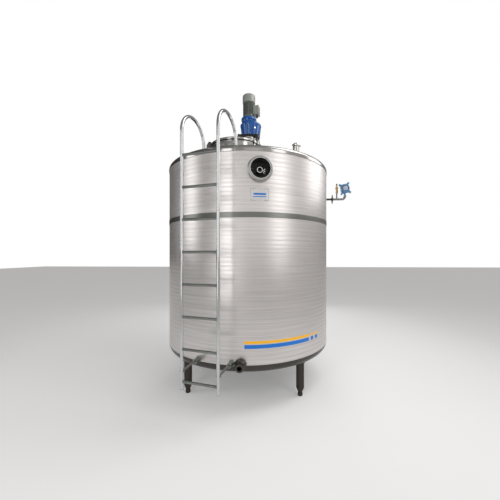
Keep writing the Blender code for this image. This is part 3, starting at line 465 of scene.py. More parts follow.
def nameplateFinish():
    # satin plate with a thin dark line round it and two plain bars, placed by the way round and the height
    f = Finish("printed_plate", (0.66, 0.66, 0.66), 0.30, 0.85)
    angle, z = roundTank(f)
    across = (angle - radians(nameplate["angle"])) * tankR
    up = z - middle("nameplate").z

    def box(inset):
        wide, high = nameplate["width"] / 2 - inset, span("nameplate").z / 2 - inset
        return across.between(-wide, wide) * up.between(-high, high)

    haze = f.noise(f.vector(*f.place()), 60.0)
    lined = box(nameplate["lineOut"]) * (1 - box(nameplate["lineIn"]))
    colour = f.mix(lined, f.shade(0.92 + haze * 0.16), nameplate["line"])
    printed = 0.0
    for low, top, half in nameplate["bars"]:
        bar = across.between(-half, half) * up.between(low, top)
        colour = f.mix(bar, colour, nameplate["ink"])
        printed = bar + printed
    f.feed(Base_Color=colour, Roughness=0.24 + haze * 0.16, Metallic=0.85 - printed * 0.8)
    return f.material


# every finish, under the record's material slot that it is taken from
finishes = {
    "shell_stainless": {
        "cladding": shellFinish(),
        "neck": steelFinish("neck_steel", (0.52, 0.51, 0.49), 0.15, (8.0, 8.0, 120.0), grit=0.12),
        # the port collar's steel is a darker copy of the cladding steel: painted shade
        "shadedPortRim": steelFinish("port_rim_steel_painted_shade", (0.40, 0.40, 0.39), 0.20, streak=0.05, blotch=0.10,
                               grit=0.08),
    },
    "dark_stainless": {
        "roof": hoopFinish("roof_steel", (0.42, 0.41, 0.40), 0.16),
        "band": hoopFinish("band_steel", (0.20, 0.205, 0.19), 0.36, 0.10),
        # the bottom dish and the legs take near-black steel: painted shade under the tank
        "bottom": hoopFinish("bottom_steel_painted_shade", (0.075, 0.070, 0.064), 0.30, 0.16),
        "leg": steelFinish("leg_steel_painted_shade", (0.060, 0.054, 0.048), 0.36),
        "rail": steelFinish("rail_steel", (0.56, 0.57, 0.58), 0.14, streak=0.04, blotch=0.06, grit=0.05),
        "rung": steelFinish("rung_steel", (0.235, 0.25, 0.235), 0.36, (4.0, 60.0, 60.0)),
        "dark": steelFinish("dark_steel", (0.085, 0.080, 0.074), 0.34),
    },
    "bright_stainless": {"bright": steelFinish("polished_steel", (0.74, 0.74, 0.73), 0.16, streak=0.05,
                                               blotch=0.08)},
    # the port's cover is steel painted near black: painted shade in the port's recess
    "port_dark": {"shadedPortWell": steelFinish("port_well_steel_painted_shade", (0.030, 0.033, 0.029), 0.38)},
    "brass": {"brass": steelFinish("brass_fitting", (0.62, 0.40, 0.15), 0.30)},
    "nameplate_metal": {"plate": nameplateFinish()},
    "black_paint": {
        "black": enamelFinish("black_enamel", (0.012, 0.012, 0.013), 0.42, 0.1, (0.10, 0.10, 0.10)),
        "rubber": rubberFinish(),
    },
    "blue_paint": {"blue": enamelFinish("blue_enamel", (0.000, 0.085, 0.330), 0.22, 0.55,
                                        (0.01, 0.05, 0.20))},
    "grey_green_paint": {
        "motor": enamelFinish("motor_enamel", (0.270, 0.295, 0.260), 0.26, 0.6, (0.40, 0.42, 0.39)),
        # the motor frame's enamel is a darker copy of the motor paint: painted shade on the fins
        "shadedMotorBody": enamelFinish("motor_enamel_painted_shade", (0.105, 0.120, 0.102), 0.24, 0.7, (0.26, 0.28, 0.25)),
    },
    "pale_blue_paint": {
        "paleBlue": enamelFinish("pale_blue_enamel", (0.105, 0.290, 0.500), 0.32, 0.4, (0.30, 0.42, 0.55)),
        "lilac": enamelFinish("window_lilac", (0.42, 0.46, 0.62), 0.10, 0.8, (0.10, 0.10, 0.10), 0.03),
    },
}
slotOf = {look: slot for slot, looks in finishes.items() for look in looks}
print("finishes made")


def piece(name, solids, look, *stands, slot=None, body="tank"):
    # all the solids as one closed mesh at the origin, with doubles merged and faces turned outwards
    points, faces, count = [], [], 0
    for solid, corners in solids:
        points.append(solid)
        faces += [[k + count for k in face] for face in corners]
        count += len(solid)
    mesh = bpy.data.meshes.new(name)
    mesh.from_pydata(np.concatenate(points).tolist(), [], faces)
    shape = bmesh.new()
    shape.from_mesh(mesh)
    bmesh.ops.remove_doubles(shape, verts=shape.verts, dist=0.000004)
    bmesh.ops.recalc_face_normals(shape, faces=shape.faces)
    shape.to_mesh(mesh)
    shape.free()
    mesh.shade_smooth()
    mesh.set_sharp_from_angle(angle=radians(32))
    slot = slot or slotOf[look]
    mesh.materials.append(finishes[slotOf[look]][look])
    made = bpy.data.objects.new(name, mesh)
    bpy.context.scene.collection.objects.link(made)
    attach(made, body)
    if stands:
        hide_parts(*stands)


shell = dict(wall=0.080, sides=192, seam=178.0, seamStep=24, seamWidth=0.009, seamProud=0.0014,
             seamSunk=0.004, seamShort=0.002, portHole=0.1185, window=0.135, rows=15)
portAngle, portZ = bearing("port_plate"), middle("port_plate").z
innerR = tankR - shell["wall"]


def onCladding(radius):
    def toPlan(points):
        return np.stack([radius * np.arctan2(points[..., 0], -points[..., 1]), points[..., 2]], -1)

    def fromPlan(flat):
        a = flat[..., 0] / radius
        return np.stack([radius * np.sin(a), -radius * np.cos(a), flat[..., 1]], -1)

    return toPlan, fromPlan


def seamBar(low, high, start):
    # a narrow upright strip that stands a little proud of the cladding
    short = shell["seamShort"]
    profile = hoop(tankR - shell["seamSunk"], tankR + shell["seamProud"], low + short, high - short)
    return turned(profile, 4, tankAxis, 0.0008, True, start, degrees(shell["seamWidth"] / tankR), 2)


def makeShell():
    # the lower course is a plain ring, the upper one has the port's hole through it
    low, high = lowZ("lower_wall_front"), highZ("lower_wall_front")
    course = turned(hoop(innerR, tankR, low, high), shell["sides"], tankAxis, closed=True)
    piece("lower_cladding", [course, seamBar(low, high, shell["seam"])], "cladding", "lower_wall_front",
          "lower_wall_back")
    low, high = lowZ("upper_wall_front"), highZ("upper_wall_front")
    steps = np.linspace(low, high, shell["rows"])
    angles = np.radians(np.linspace(0, 360, shell["sides"], endpoint=False) + portAngle - 90)
    rows = np.searchsorted(steps, (portZ - shell["window"], portZ + shell["window"])) + (-1, 0)
    width = int(round(shell["window"] / tankR / (2 * pi / shell["sides"]))) + 1
    column = shell["sides"] // 4
    solids, rims = [], []
    for radius in (tankR, innerR):
        grid = ringPoints(np.stack([np.full(shell["rows"], radius), steps], 1), angles)
        found, rim = withHole(grid, rows, (column - width, column + width), shell["portHole"],
                              np.array((radius * radians(portAngle), portZ)), *onCladding(radius))
        solids += found
        rims.append(rim)
    solids.append(loft(np.array(rims)))
    solids += [loft(ringPoints(np.array([(tankR, z), (innerR, z)]), angles)) for z in (low, high)]
    solids = [placed(solid, tankAxis) for solid in solids]
    piece("upper_cladding", solids + [seamBar(low, high, shell["seam"] + shell["seamStep"])], "cladding",
          "upper_wall_front", "upper_wall_back")


band = dict(gap=0.0003, drawn=0.0006, edge=0.004)


def makeBand():
    low, high, proud = lowZ("joint_band"), highZ("joint_band"), span("joint_band").x / 2
    drawn, edge = proud - band["drawn"], band["edge"]
    loop = [(drawn, low), (proud, low + edge), (proud, high - edge), (drawn, high)]
    loop += [(tankR + band["gap"], high), (tankR + band["gap"], low)]
    piece("course_band", [turned(loop, shell["sides"], tankAxis, 0.0005, closed=True, steps=2)], "band",
          "joint_band")


roof = dict(rim=0.025, knuckle=0.042, slope=radians(7), under=0.080, lip=0.0015, hatchClear=0.012)
roofR, roofTip = span("roof").x / 2, highZ("roof")


def roofHeight(far):
    # height of the cone at a distance from the axis
    return roofTip - far * tan(roof["slope"])


def makeRoof():
    # above, a skirt, a quarter-round knuckle and the cone; below, a shallower cone; the hatch's hole in both
    foot, knuckle = lowZ("roof"), roof["knuckle"]
    centreR, centreZ = roofR - knuckle, foot + roof["rim"]
    bend = np.linspace(0, pi / 2 - roof["slope"], 14)
    curve = np.stack([centreR + knuckle * np.cos(bend), centreZ + knuckle * np.sin(bend)], 1)
    skirt = np.array([(roofR - roof["lip"], foot), (roofR, foot + 0.002), (roofR, centreZ)])
    far = np.linspace(roofR - knuckle * (1 - sin(roof["slope"])), 0.0, 27)[1:]

    def underHeight(away):
        return foot + (roofTip - roof["under"] - foot) * (1 - away / innerR)

    farUnder = np.concatenate([[innerR], far[far < innerR - 0.01]])
    top = np.concatenate([skirt, curve[1:], np.stack([far, roofHeight(far)], 1)])
    under = np.concatenate([skirt[:1], np.stack([farUnder, underHeight(farUnder)], 1)])
    hatch = middle("manway_neck") - Vector((axisX, axisY, 0))
    hatchR, hatchFar = span("manway_neck").x / 2 - 0.003, hypot(hatch.x, hatch.y)
    step = 2 * pi / shell["sides"]
    angles = np.arange(shell["sides"]) * step + radians(bearing("manway_neck")) - pi / 2
    column, width = shell["sides"] // 4, int(np.ceil(asin((hatchR + 0.010) / hatchFar) / step)) + 1
    solids, rims = [], []
    for profile, height in ((top, roofHeight), (under, underHeight)):
        inRows = np.where(np.abs(profile[:, 0] - hatchFar) < hatchR + roof["hatchClear"])[0]

        def fromPlan(flat, height=height):
            return np.concatenate([flat, height(np.hypot(flat[..., :1], flat[..., 1:]))], -1)

        found, rim = withHole(ringPoints(profile, angles), (inRows[0] - 1, inRows[-1] + 1),
                              (column - width, column + width), hatchR, np.array((hatch.x, hatch.y)),
                              lambda points: points[..., :2], fromPlan)
        solids += found
        rims.append(rim)
    solids.append(loft(np.array(rims)))
    piece("roof_sheet", [placed(solid, tankAxis) for solid in solids], "roof", "roof")


def circle(centre, radius, count=96):
    # x and y round an upright axis, from the front
    a = np.linspace(0, 2 * pi, count, endpoint=False)
    return centre.x + radius * np.sin(a), centre.y - radius * np.cos(a)


def makeBottom():
    # the knuckle is a quarter circle below the cladding
    top, base = highZ("bottom"), lowZ("bottom")
    knuckle = top - base
    bend = np.linspace(0, pi / 2, 14)
    curve = np.stack([tankR - knuckle + knuckle * np.cos(bend), top - knuckle * np.sin(bend)], 1)
    profile = np.concatenate([[(0, top), (tankR - 0.10, top)], curve, [(0.3, base), (0, base)]])
    # the dish is painted near black as painted shade under the tank
    piece("bottom_dish", [turned(profile, shell["sides"], tankAxis)], "bottom", "bottom")


leg = dict(collar=0.054, collarHeight=0.016, collarWeld=0.006, tip=0.026, taper=0.043, jack=0.008,
           jackRise=0.062, jackReach=0.012, stem=0.012, nut=0.020)


def makeLegs():
    for side in ("front_left", "front_right", "back_left", "back_right"):
        node, footNode = "leg_" + side, "foot_" + side
        here, top, end, r = upright(node), highZ(node), lowZ(node), span(node).x / 2
        collarLow = top - leg["collarHeight"]
        profile = [(0, top), (leg["collar"], top), (leg["collar"], collarLow),
                   (r, collarLow - leg["collarWeld"]), (r, end + leg["taper"]), (leg["tip"], end), (0, end)]
        at = Vector((middle(node).x, middle(node).y, end + leg["jackRise"]))
        inward = Vector((axisX - at.x, axisY - at.y, 0)).normalized()
        jack = rod(at, at - inward.cross(Vector((0, 0, 1))) * (r + leg["jackReach"]), leg["jack"], 18, 0.002)
        # the legs and their feet are painted near black as painted shade under the tank
        piece("leg_tube_" + side, [turned(profile, 48, here, 0.0025), jack], "leg", node)
        footR, stem = span(footNode).x / 2, leg["stem"]
        foot = [(0, end), (stem, end), (stem, end - 0.006), (footR * 0.86, end - 0.008), (footR, end * 0.55),
                (footR, 0.007), (footR * 0.86, 0), (0, 0)]
        nut = turned(hoop(0.008, leg["nut"], end + 0.004, end - 0.008), 6, here, closed=True)
        piece("foot_pad_" + side, [turned(foot, 48, here, 0.002), nut], "leg", footNode)


manway = dict(weld=0.004, wall=0.006, bead=0.0045, gasket=0.006, lidFlat=0.208, lidSheet=0.005, lidRim=0.022,
              ringAt=0.165, ringWidth=0.014, ringRise=0.0035, foot=0.017, footHeight=0.004, gripBend=0.022)
manwayAt = upright("manway_neck")


def makeManway():
    # the neck with a bead round its top and a weld round its foot, which follows the cone
    neck = middle("manway_neck")
    r, low, high = span("manway_neck").x / 2, lowZ("manway_neck"), highZ("manway_neck")
    x, y = circle(neck, r - 0.001)
    bead = tube(np.stack([x, y, np.full(len(x), high - manway["bead"])], 1), manway["bead"], 12, True)
    x, y = circle(neck, r)
    weld = tube(np.stack([x, y, roofHeight(np.hypot(x - axisX, y - axisY))], 1), manway["weld"], 10, True)
    wall = turned(hoop(r - manway["wall"], r, low, high), 96, manwayAt, 0.001, True)
    piece("manway_collar", [wall, bead, weld], "neck", "manway_neck")
    r, low, high = span("manway_gasket").x / 2, lowZ("manway_gasket"), highZ("manway_gasket")
    ring = turned(hoop(r - manway["gasket"], r, low, high), 96, manwayAt, 0.0025, True)
    piece("lid_gasket", [ring], "rubber", "manway_gasket")


def makeLid():
    r, seat, top = span("manway_lid").x / 2, lowZ("manway_lid"), highZ("manway_lid")
    rim, sheet, flat, ring = seat + manway["lidRim"], manway["lidSheet"], manway["lidFlat"], manway["ringAt"]
    wide, raised = manway["ringWidth"], top - manway["ringRise"]
    upper = [(0, top), (ring - wide, top), (ring - 0.004, raised), (ring + 0.004, raised),
             (ring + wide, top), (flat, top), (r - 0.016, rim), (r - 0.004, rim), (r, rim - 0.004),
             (r, seat + 0.003), (r - 0.0025, seat)]
    lower = [(r - sheet, seat), (r - sheet, rim - sheet), (flat, top - sheet), (0, top - sheet)]
    piece("hatch_lid", [turned(upper + lower, 96, manwayAt, 0.003)], "neck", "manway_lid", body="lid")
    low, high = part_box("lid_handle")
    x, bar = (low.x + high.x) / 2, span("lid_handle").x / 2
    front, back, peak = low.y + bar, high.y - bar, high.z - bar
    corners = [(x, front, top), (x, front, peak), (x, back, peak), (x, back, top)]
    line = filleted(corners, manway["gripBend"], 10)
    keep = np.concatenate([[True], np.linalg.norm(np.diff(line, axis=0), axis=1) > 1e-6])
    foot, footTop = manway["foot"], top + manway["footHeight"]
    pads = [turned([(0, top), (foot, top), (foot * 0.8, footTop), (0, footTop)], 32, move(x, y))
            for y in (front, back)]
    piece("lid_grip", [tube(line[keep], bar)] + pads, "bright", "lid_handle", body="lid")


hinge = dict(ear=0.010, earGap=0.001, pinHole=0.0088, bolt=(0.0115, 0.004, 1.15), strapBolt=(0.006, 0.005),
             strapBoltIn=0.020, strapBoltApart=0.017, footOverlap=0.004)


def makeHinge():
    # ears rise from a foot on the neck to a round end about the pin, and the strap bends from it to the lid
    low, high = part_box("hinge_bracket")
    pin, across = middle("hinge_pin"), rotate(pi / 2, "X")
    eye, ear, left, base = high.z - pin.z, hinge["ear"], low.x - pin.x, low.z - pin.z
    a = np.linspace(radians(-50), radians(180), 22)
    web = [(left, base), (-0.0015, base), (-0.0015, -0.030), (eye * 0.60, -0.019)]
    flat = np.concatenate([web, np.stack([eye * np.cos(a), eye * np.sin(a)], 1), [(left, -0.012)]])
    solids = [plate(flat, ear - hinge["earGap"], move(pin.x, y, pin.z) @ across)
              for y in (low.y + ear / 2, high.y - ear / 2)]
    footX = middle("manway_neck").x - span("manway_neck").x / 2 + hinge["footOverlap"]
    solids.append(slab(footX - low.x, high.y - low.y, ear,
                       place=move((footX + low.x) / 2, pin.y, low.z + ear / 2)))
    for y, turn in ((low.y, pi / 2), (high.y, -pi / 2)):
        solids += hexBolt(move(pin.x, y, pin.z) @ rotate(turn, "X"), *hinge["bolt"])
    piece("hinge_ears", solids, "dark", "hinge_bracket")
    half = span("hinge_pin").y / 2
    piece("hinge_rod", [rod((pin.x, pin.y - half, pin.z), (pin.x, pin.y + half, pin.z),
                            span("hinge_pin").x / 2, 32, 0.001)], "bright", "hinge_pin")
    low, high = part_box("lid_hinge_arm")
    r, top, end = high.z - pin.z, highZ("manway_lid"), high.x - pin.x
    barrel = turned(hoop(hinge["pinHole"], r, low.y, high.y)[::-1], 48,
                    move(pin.x, 0, pin.z) @ rotate(-pi / 2, "X"), 0.0015, closed=True)
    up = top - pin.z
    bend = [(r * 0.55, -r * 0.80), (0.030, up - 0.0115), (end, up - 0.0015), (end, up + 0.006),
            (0.045, up + 0.008), (r * 0.80, -r * 0.40)]
    strap = plate(filleted(bend, 0.003, 3, True), span("lid_hinge_arm").y - 0.002,
                  Matrix.Translation(pin) @ across)
    bolts = []
    for y in (-hinge["strapBoltApart"], hinge["strapBoltApart"]):
        bolts += hexBolt(move(high.x - hinge["strapBoltIn"], pin.y + y, top + 0.0062), *hinge["strapBolt"])
    piece("hinge_strap", [barrel, strap] + bolts, "dark", "lid_hinge_arm", body="lid")


clamp = dict(angle=52, clear=0.023, knob=0.014, knobHeight=0.030, grooves=7, groove=0.10, thread=0.007,
             width=0.034, bracket=0.014, bolt=(0.012, 0.008, 1.2),
             crown=[(0, 0), (0.75, 0), (0.96, 0.08), (1, 0.25), (1, 0.70), (0.86, 0.92), (0.4, 1), (0, 1)])


def makeClamp():
    # swing bolt on the neck; the knob's radius dips as the cosine squared of the way round
    low, high = lowZ("lid_clamp"), highZ("lid_clamp")
    out = span("manway_lid").y / 2 + clamp["clear"]
    start, reach = span("manway_neck").x / 2 - 0.004, out + clamp["width"] / 2
    at = manwayAt @ rotate(radians(clamp["angle"])) @ move(0, -out)
    bracketZ, knobZ = low + clamp["bracket"] / 2, high - clamp["knobHeight"]
    a = np.linspace(0, 2 * pi, 84, endpoint=False)
    levels = np.array(clamp["crown"], float)
    r = clamp["knob"] * levels[:, :1] * (1 - clamp["groove"] * np.cos(clamp["grooves"] * a) ** 2)
    knob = np.stack([r * np.sin(a), -r * np.cos(a), knobZ + clamp["knobHeight"] * levels[:, 1:] + 0 * a], -1)
    solids = [slab(clamp["width"], reach - start, clamp["bracket"], 0.008, 0.002,
                   at @ move(0, out - (reach + start) / 2, bracketZ)),
              placed(rod((0, 0, bracketZ - 0.010), (0, 0, knobZ + 0.004), clamp["thread"], 24, 0.001), at),
              placed(loft(knob), at)]
    for z in (bracketZ + clamp["bracket"] / 2, knobZ - 0.010):
        solids += hexBolt(at @ move(z=z), *clamp["bolt"])
    piece("lid_swing_bolt", solids, "dark", "lid_clamp")


stand = dict(pipe=0.112, flange=0.018, wall=0.008, sill=0.075, head=0.045, window=0.110, weld=0.006,
             bolt=(8, 0.0072, 0.008), boltIn=0.011, coupling=0.034, sealBolt=(6, 0.0045, 0.005))


def makeStand():
    # a pipe with four windows between two bolted flanges, and the shaft's seal and coupling inside it
    r, weld, tip = stand["pipe"], stand["weld"], roofTip
    flangeR, top = span("drive_stand").x / 2, highZ("drive_stand")
    inside, skirt = r - stand["wall"], roofHeight(flangeR) - 0.004
    seat, under = tip + stand["flange"], top - stand["flange"]
    sill, head = tip + stand["sill"], under - stand["head"]
    foot = [(inside, skirt), (flangeR, skirt), (flangeR, seat), (r + weld, seat), (r, seat + weld),
            (r, sill), (inside, sill)]
    crown = [(inside, head), (r, head), (r, under - weld), (r + weld, under), (flangeR, under),
             (flangeR, top), (inside, top)]
    solids = [turned(profile, 96, tankAxis, 0.0015, True) for profile in (foot, crown)]
    half = degrees(asin(stand["window"] / 2 / r))
    post = hoop(inside, r, sill - 0.001, head + 0.001)
    solids += [turned(post, 12, tankAxis, 0.001, True, 90 * k + half, 90 - 2 * half, 2) for k in range(4)]
    piece("drive_lantern", solids, "neck", "drive_stand")
    (count, bolt, height), ringR = stand["bolt"], flangeR - stand["boltIn"]
    bolts = [part for place in (move(z=seat), move(z=under) @ rotate(pi, "X"))
             for part in boltRing(tankAxis @ place, ringR, count, bolt, height, 180 / count)]
    piece("lantern_bolts", bolts, "bright")
    seal, sealR, shaft = highZ("seal_housing"), span("seal_housing").x / 2, stand["coupling"]
    housing = [(0, seal), (shaft * 0.6, seal), (shaft * 0.6, seal - 0.07), (shaft, seal - 0.075),
               (shaft, seal - 0.125), (shaft * 0.7, seal - 0.130), (shaft * 0.7, tip + 0.152),
               (sealR * 0.8, tip + 0.148), (sealR * 0.8, tip + 0.100), (sealR, tip + 0.095),
               (sealR, tip - 0.006), (0, tip - 0.006)]
    joint = boltRing(tankAxis @ move(z=tip + 0.095), sealR - 0.006, *stand["sealBolt"])
    piece("shaft_seal", [turned(housing, 64, tankAxis, 0.002)] + joint, "bright", "seal_housing")


drive = dict(corner=0.010, edge=0.002, boltIn=0.020, bolt=0.010, boltHeight=0.009, nutHeight=0.011)


def makeDrivePlate():
    low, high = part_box("drive_plate")
    here, width = (low + high) / 2, high.x - low.x
    piece("drive_base_plate", [slab(width, width, high.z - low.z, drive["corner"], drive["edge"],
                                    Matrix.Translation(here))], "black", "drive_plate")
    corner = width / 2 - drive["boltIn"]
    bolts = []
    for x in (here.x - corner, here.x + corner):
        for y in (here.y - corner, here.y + corner):
            bolts += hexBolt(move(x, y, high.z), drive["bolt"], drive["boltHeight"])
            bolts += hexBolt(move(x, y, low.z) @ rotate(pi, "X"), drive["bolt"], drive["nutHeight"])
    piece("base_plate_bolts", bolts, "bright")


gearbox = dict(base=0.118, belly=0.139, shoulder=0.162, lug=0.012, lugs=8, flange=0.100, neck=0.089,
               flangeT=0.030, rimBolt=(8, 0.0068, 0.007), footBolt=(8, 0.007225, 0.007),
               plug=(0.011, 0.010, 1.25), plugAngle=28)


def makeGearbox():
    # a belly that widens to its shoulder, round ribs that lean along it, and a flanged neck for the motor
    low, high, centre = lowZ("gearbox"), highZ("gearbox"), upright("gearbox")
    base, belly, neckR, flangeR = gearbox["base"], gearbox["belly"], gearbox["neck"], gearbox["flange"]
    shoulder, flangeLow, tall = low + gearbox["shoulder"], high - gearbox["flangeT"], gearbox["shoulder"]
    body = [(0, low), (base + 0.006, low), (base + 0.006, low + 0.014), (base - 0.006, low + 0.018),
            (base - 0.002, low + 0.030), (belly - 0.004, shoulder - 0.022),
            (belly - 0.001, shoulder - 0.018), (belly - 0.001, shoulder), (belly - 0.012, shoulder + 0.008),
            (neckR + 0.012, shoulder + 0.030), (0, shoulder + 0.030)]
    lug = gearbox["lug"]
    rib = [(0, 0), (lug, 0), (lug, tall - 0.016), (lug * 0.5, tall - 0.008), (0, tall - 0.008)]
    lean = move(0, 0.006 - base, low + 0.008) @ rotate(atan2(belly - base, tall), "X")
    ribs = [turned(rib, 20, centre @ rotate(2 * pi * (k + 0.5) / gearbox["lugs"]) @ lean, 0.003)
            for k in range(gearbox["lugs"])]
    neck = [(0, shoulder - 0.03), (neckR, shoulder - 0.03), (neckR - 0.006, flangeLow - 0.020),
            (neckR, flangeLow - 0.006), (flangeR, flangeLow), (flangeR, high), (0, high)]
    casting = [turned(body, 96, centre, 0.004), turned(neck, 96, tankAxis, 0.003)]
    piece("gear_housing", casting + ribs, "blue", "gearbox")
    bolts = boltRing(tankAxis @ move(z=flangeLow) @ rotate(pi, "X"), flangeR - 0.0105, *gearbox["rimBolt"],
                     10)
    bolts += boltRing(centre @ move(z=low + 0.0145), base - 0.002, *gearbox["footBolt"])
    plugAt = centre @ rotate(radians(gearbox["plugAngle"])) @ move(0, -0.126, low + 0.085)
    piece("gear_bolts", bolts + hexBolt(plugAt @ rotate(pi / 2 - 0.13, "X"), *gearbox["plug"]), "bright")


motor = dict(r=0.078, fins=30, finDepth=0.011, finLow=0.038, finHigh=0.012, grille=5,
             earBolt=(4, 0.006, 0.006))


def makeMotor():
    # the fins swell and dip as a clipped cosine of the way round, between an end shield and a cap
    low, high, r, depth = lowZ("motor"), highZ("motor"), motor["r"], motor["finDepth"]
    cowlR, cowlLow = span("motor_fan_cover").x / 2, lowZ("motor_fan_cover")
    cowlTop = highZ("motor_fan_cover")
    start, end = low + motor["finLow"], high - motor["finHigh"]
    a = np.linspace(0, 2 * pi, motor["fins"] * 12, endpoint=False)
    ridge = np.clip(1.6 * np.cos(motor["fins"] * a), -1, 1) * 0.5 + 0.5
    levels = np.array([(start, 0.0), (start + 0.002, 1.0), (end - 0.002, 1.0), (end, 0.0)])
    radius = r - depth + depth * ridge * levels[:, 1:]
    fins = np.stack([radius * np.sin(a), -radius * np.cos(a), levels[:, :1] + 0 * a], -1)
    shield = [(0, low), (cowlR, low), (cowlR, low + 0.012), (cowlR - 0.004, low + 0.016),
              (r - 0.002, low + 0.022), (r - 0.002, start + 0.001), (0, start + 0.001)]
    cap = [(0, end - 0.001), (r - 0.004, end - 0.001), (r - 0.002, end + 0.003), (r - 0.004, high),
           (0, high)]
    solids = [placed(loft(fins, caps=True), tankAxis), turned(shield, 96, tankAxis, 0.002),
              turned(cap, 96, tankAxis, 0.001)]
    solids += boltRing(tankAxis @ move(z=low + 0.0205), cowlR - 0.008, *motor["earBolt"], 45)
    # the frame is painted in the darker copy of the motor paint, as painted shade
    piece("motor_frame", solids, "shadedMotorBody", "motor")
    cowl = [(0, cowlLow), (cowlR - 0.001, cowlLow), (cowlR, cowlLow + 0.001), (cowlR, cowlTop - 0.016),
            (cowlR - 0.004, cowlTop - 0.005), (cowlR - 0.012, cowlTop)]
    for ring in np.linspace(cowlR - 0.018, 0.012, motor["grille"]):
        cowl += [(ring + 0.003, cowlTop), (ring + 0.0025, cowlTop - 0.004), (ring - 0.0025, cowlTop - 0.004),
                 (ring - 0.003, cowlTop)]
    cowl.append((0, cowlTop))
    screwAt = move(0, 0.0015 - cowlR, cowlLow + 0.012) @ rotate(pi / 2, "X")
    screws = [turned([(0, 0), (0.005, 0), (0.004, 0.0013), (0, 0.0015)], 16,
                     tankAxis @ rotate(radians(angle)) @ screwAt) for angle in (45, 135, 225, 315)]
    piece("fan_cowl", [turned(cowl, 96, tankAxis, 0.0008, steps=2)] + screws, "motor", "motor_fan_cover")


terminal = dict(angle=80, width=0.096, depth=0.072, height=0.122, lid=0.010, sunk=0.010, screw=0.005,
                screwIn=0.010)


def makeTerminalBox():
    width, depth, height, lid = (terminal[key] for key in ("width", "depth", "height", "lid"))
    at = aroundTank(terminal["angle"], motor["r"] - terminal["sunk"] + depth / 2, middle("terminal_box").z)
    face = at @ move(0, -depth / 2) @ rotate(pi / 2, "X")
    solids = [slab(width - 0.004, depth - lid, height - 0.004, 0.006, 0.004, at @ move(0, lid / 2)),
              slab(width, height, lid, 0.008, 0.003, at @ move(0, (lid - depth) / 2) @ rotate(pi / 2, "X"))]
    for x in (terminal["screwIn"] - width / 2, width / 2 - terminal["screwIn"]):
        for y in (terminal["screwIn"] - height / 2, height / 2 - terminal["screwIn"]):
            solids.append(turned(disc(terminal["screw"], -0.002, 0)[::-1], 16, face @ move(x, y)))
    piece("terminal_case", solids, "motor", "terminal_box")
    under = at @ move(0.012, -0.004, -height / 2) @ rotate(pi, "X")
    gland = [turned(disc(0.016, 0, 0.009), 6, under),
             turned([(0, 0.009), (0.013, 0.009), (0.013, 0.019), (0.009, 0.025), (0, 0.025)], 24, under,
                    0.001)]
    piece("terminal_gland", gland, "black")


port = dict(base=0.1245, lip=0.1165, bore=0.095, reach=0.045, plate=0.012, nozzle=0.029, nozzleBore=0.0215,
            nozzleReach=0.060, waist=0.007, bolts=(8, 0.0055, 0.006), boltIn=0.024, boltTurn=22,
            stud=(0.00715, 0.034), studs=[(0.050, 0.010), (0.050, -0.010)])


def makePort():
    # a collar through the wall, a bolted cover with a ferrule at its inner end, and a bright ring on its
    # lip; the collar, cover, bolts and ferrule are painted darker as painted shade, and the bright rings on
    # the lip and on the ferrule's tip are painted highlights
    at = outwards(portAngle, 0, portZ)
    base, lip, bore, front = port["base"], port["lip"], port["bore"], tankR + port["reach"]
    neck = [(bore, innerR), (base - 0.004, innerR), (base - 0.004, tankR + 0.004), (base, tankR + 0.006),
            (base, tankR + 0.012), (base - 0.004, tankR + 0.016), (lip + 0.001, front - 0.014),
            (lip + 0.001, front - 0.004), (lip - 0.003, front), (bore + 0.004, front), (bore, front - 0.005)]
    # the collar is painted darker than the cladding, as painted shade
    piece("port_collar", [turned(neck, 96, at, 0.003, closed=True)], "shadedPortRim", "port_neck")
    face, r, hollow = innerR + port["plate"], port["nozzle"], port["nozzleBore"]
    cover = [(0, innerR), (bore - 0.0003, innerR), (bore - 0.0003, face), (bore - 0.010, face),
             (bore - 0.013, face - 0.003), (r + 0.018, face - 0.003), (r + 0.014, face), (0, face)]
    # the cover is painted near black as painted shade in the recess
    piece("port_cover", [turned(cover, 96, at, 0.001)], "shadedPortWell", "port_plate")
    # the port's bolts are bright stainless painted in the dark steel: painted shade in the recess
    bolts = boltRing(at @ move(z=face - 0.003), bore - port["boltIn"], *port["bolts"], port["boltTurn"])
    piece("port_bolts", bolts, "dark", slot="bright_stainless")
    # a polished ring on the collar's lip: a painted highlight
    ring = [(bore + 0.0005, front - 0.003), (bore + 0.0055, front - 0.0003), (bore + 0.0055, front + 0.0016),
            (bore + 0.0015, front + 0.0016)]
    piece("port_lip_highlight_ring", [turned(ring, 96, at, 0.0008, closed=True)], "bright", slot="shell_stainless")
    tip, low = face + port["nozzleReach"], outwards(portAngle, 0, middle("port_nozzle").z)
    waist = r - port["waist"]
    nozzle = [(0, face + 0.006), (hollow, face + 0.006), (hollow, tip), (r, tip), (r, tip - 0.010),
              (waist, tip - 0.017), (waist, face + 0.010), (r + 0.002, face), (0, face)]
    # the ferrule is bright stainless painted in the dark steel: painted shade in the recess
    piece("port_ferrule", [turned(nozzle, 64, low, 0.0015)], "dark", "port_nozzle", slot="bright_stainless")
    # the bright ring on the ferrule's tip is a painted highlight; the studs are bright steel
    solids = [turned(hoop(hollow + 0.0005, r - 0.0004, tip - 0.002, tip + 0.0016), 64, low, 0.001,
                     closed=True)]
    for x, y in port["studs"]:
        solids += hexBolt(at @ move(x, y, face - 0.002), *port["stud"])
    piece("port_tip_highlight_and_studs", solids, "bright")


outlet = dict(collar=0.058, collarReach=0.014, lip=0.0385, pipe=0.032, bore=0.023, reach=0.104, sunk=0.03)


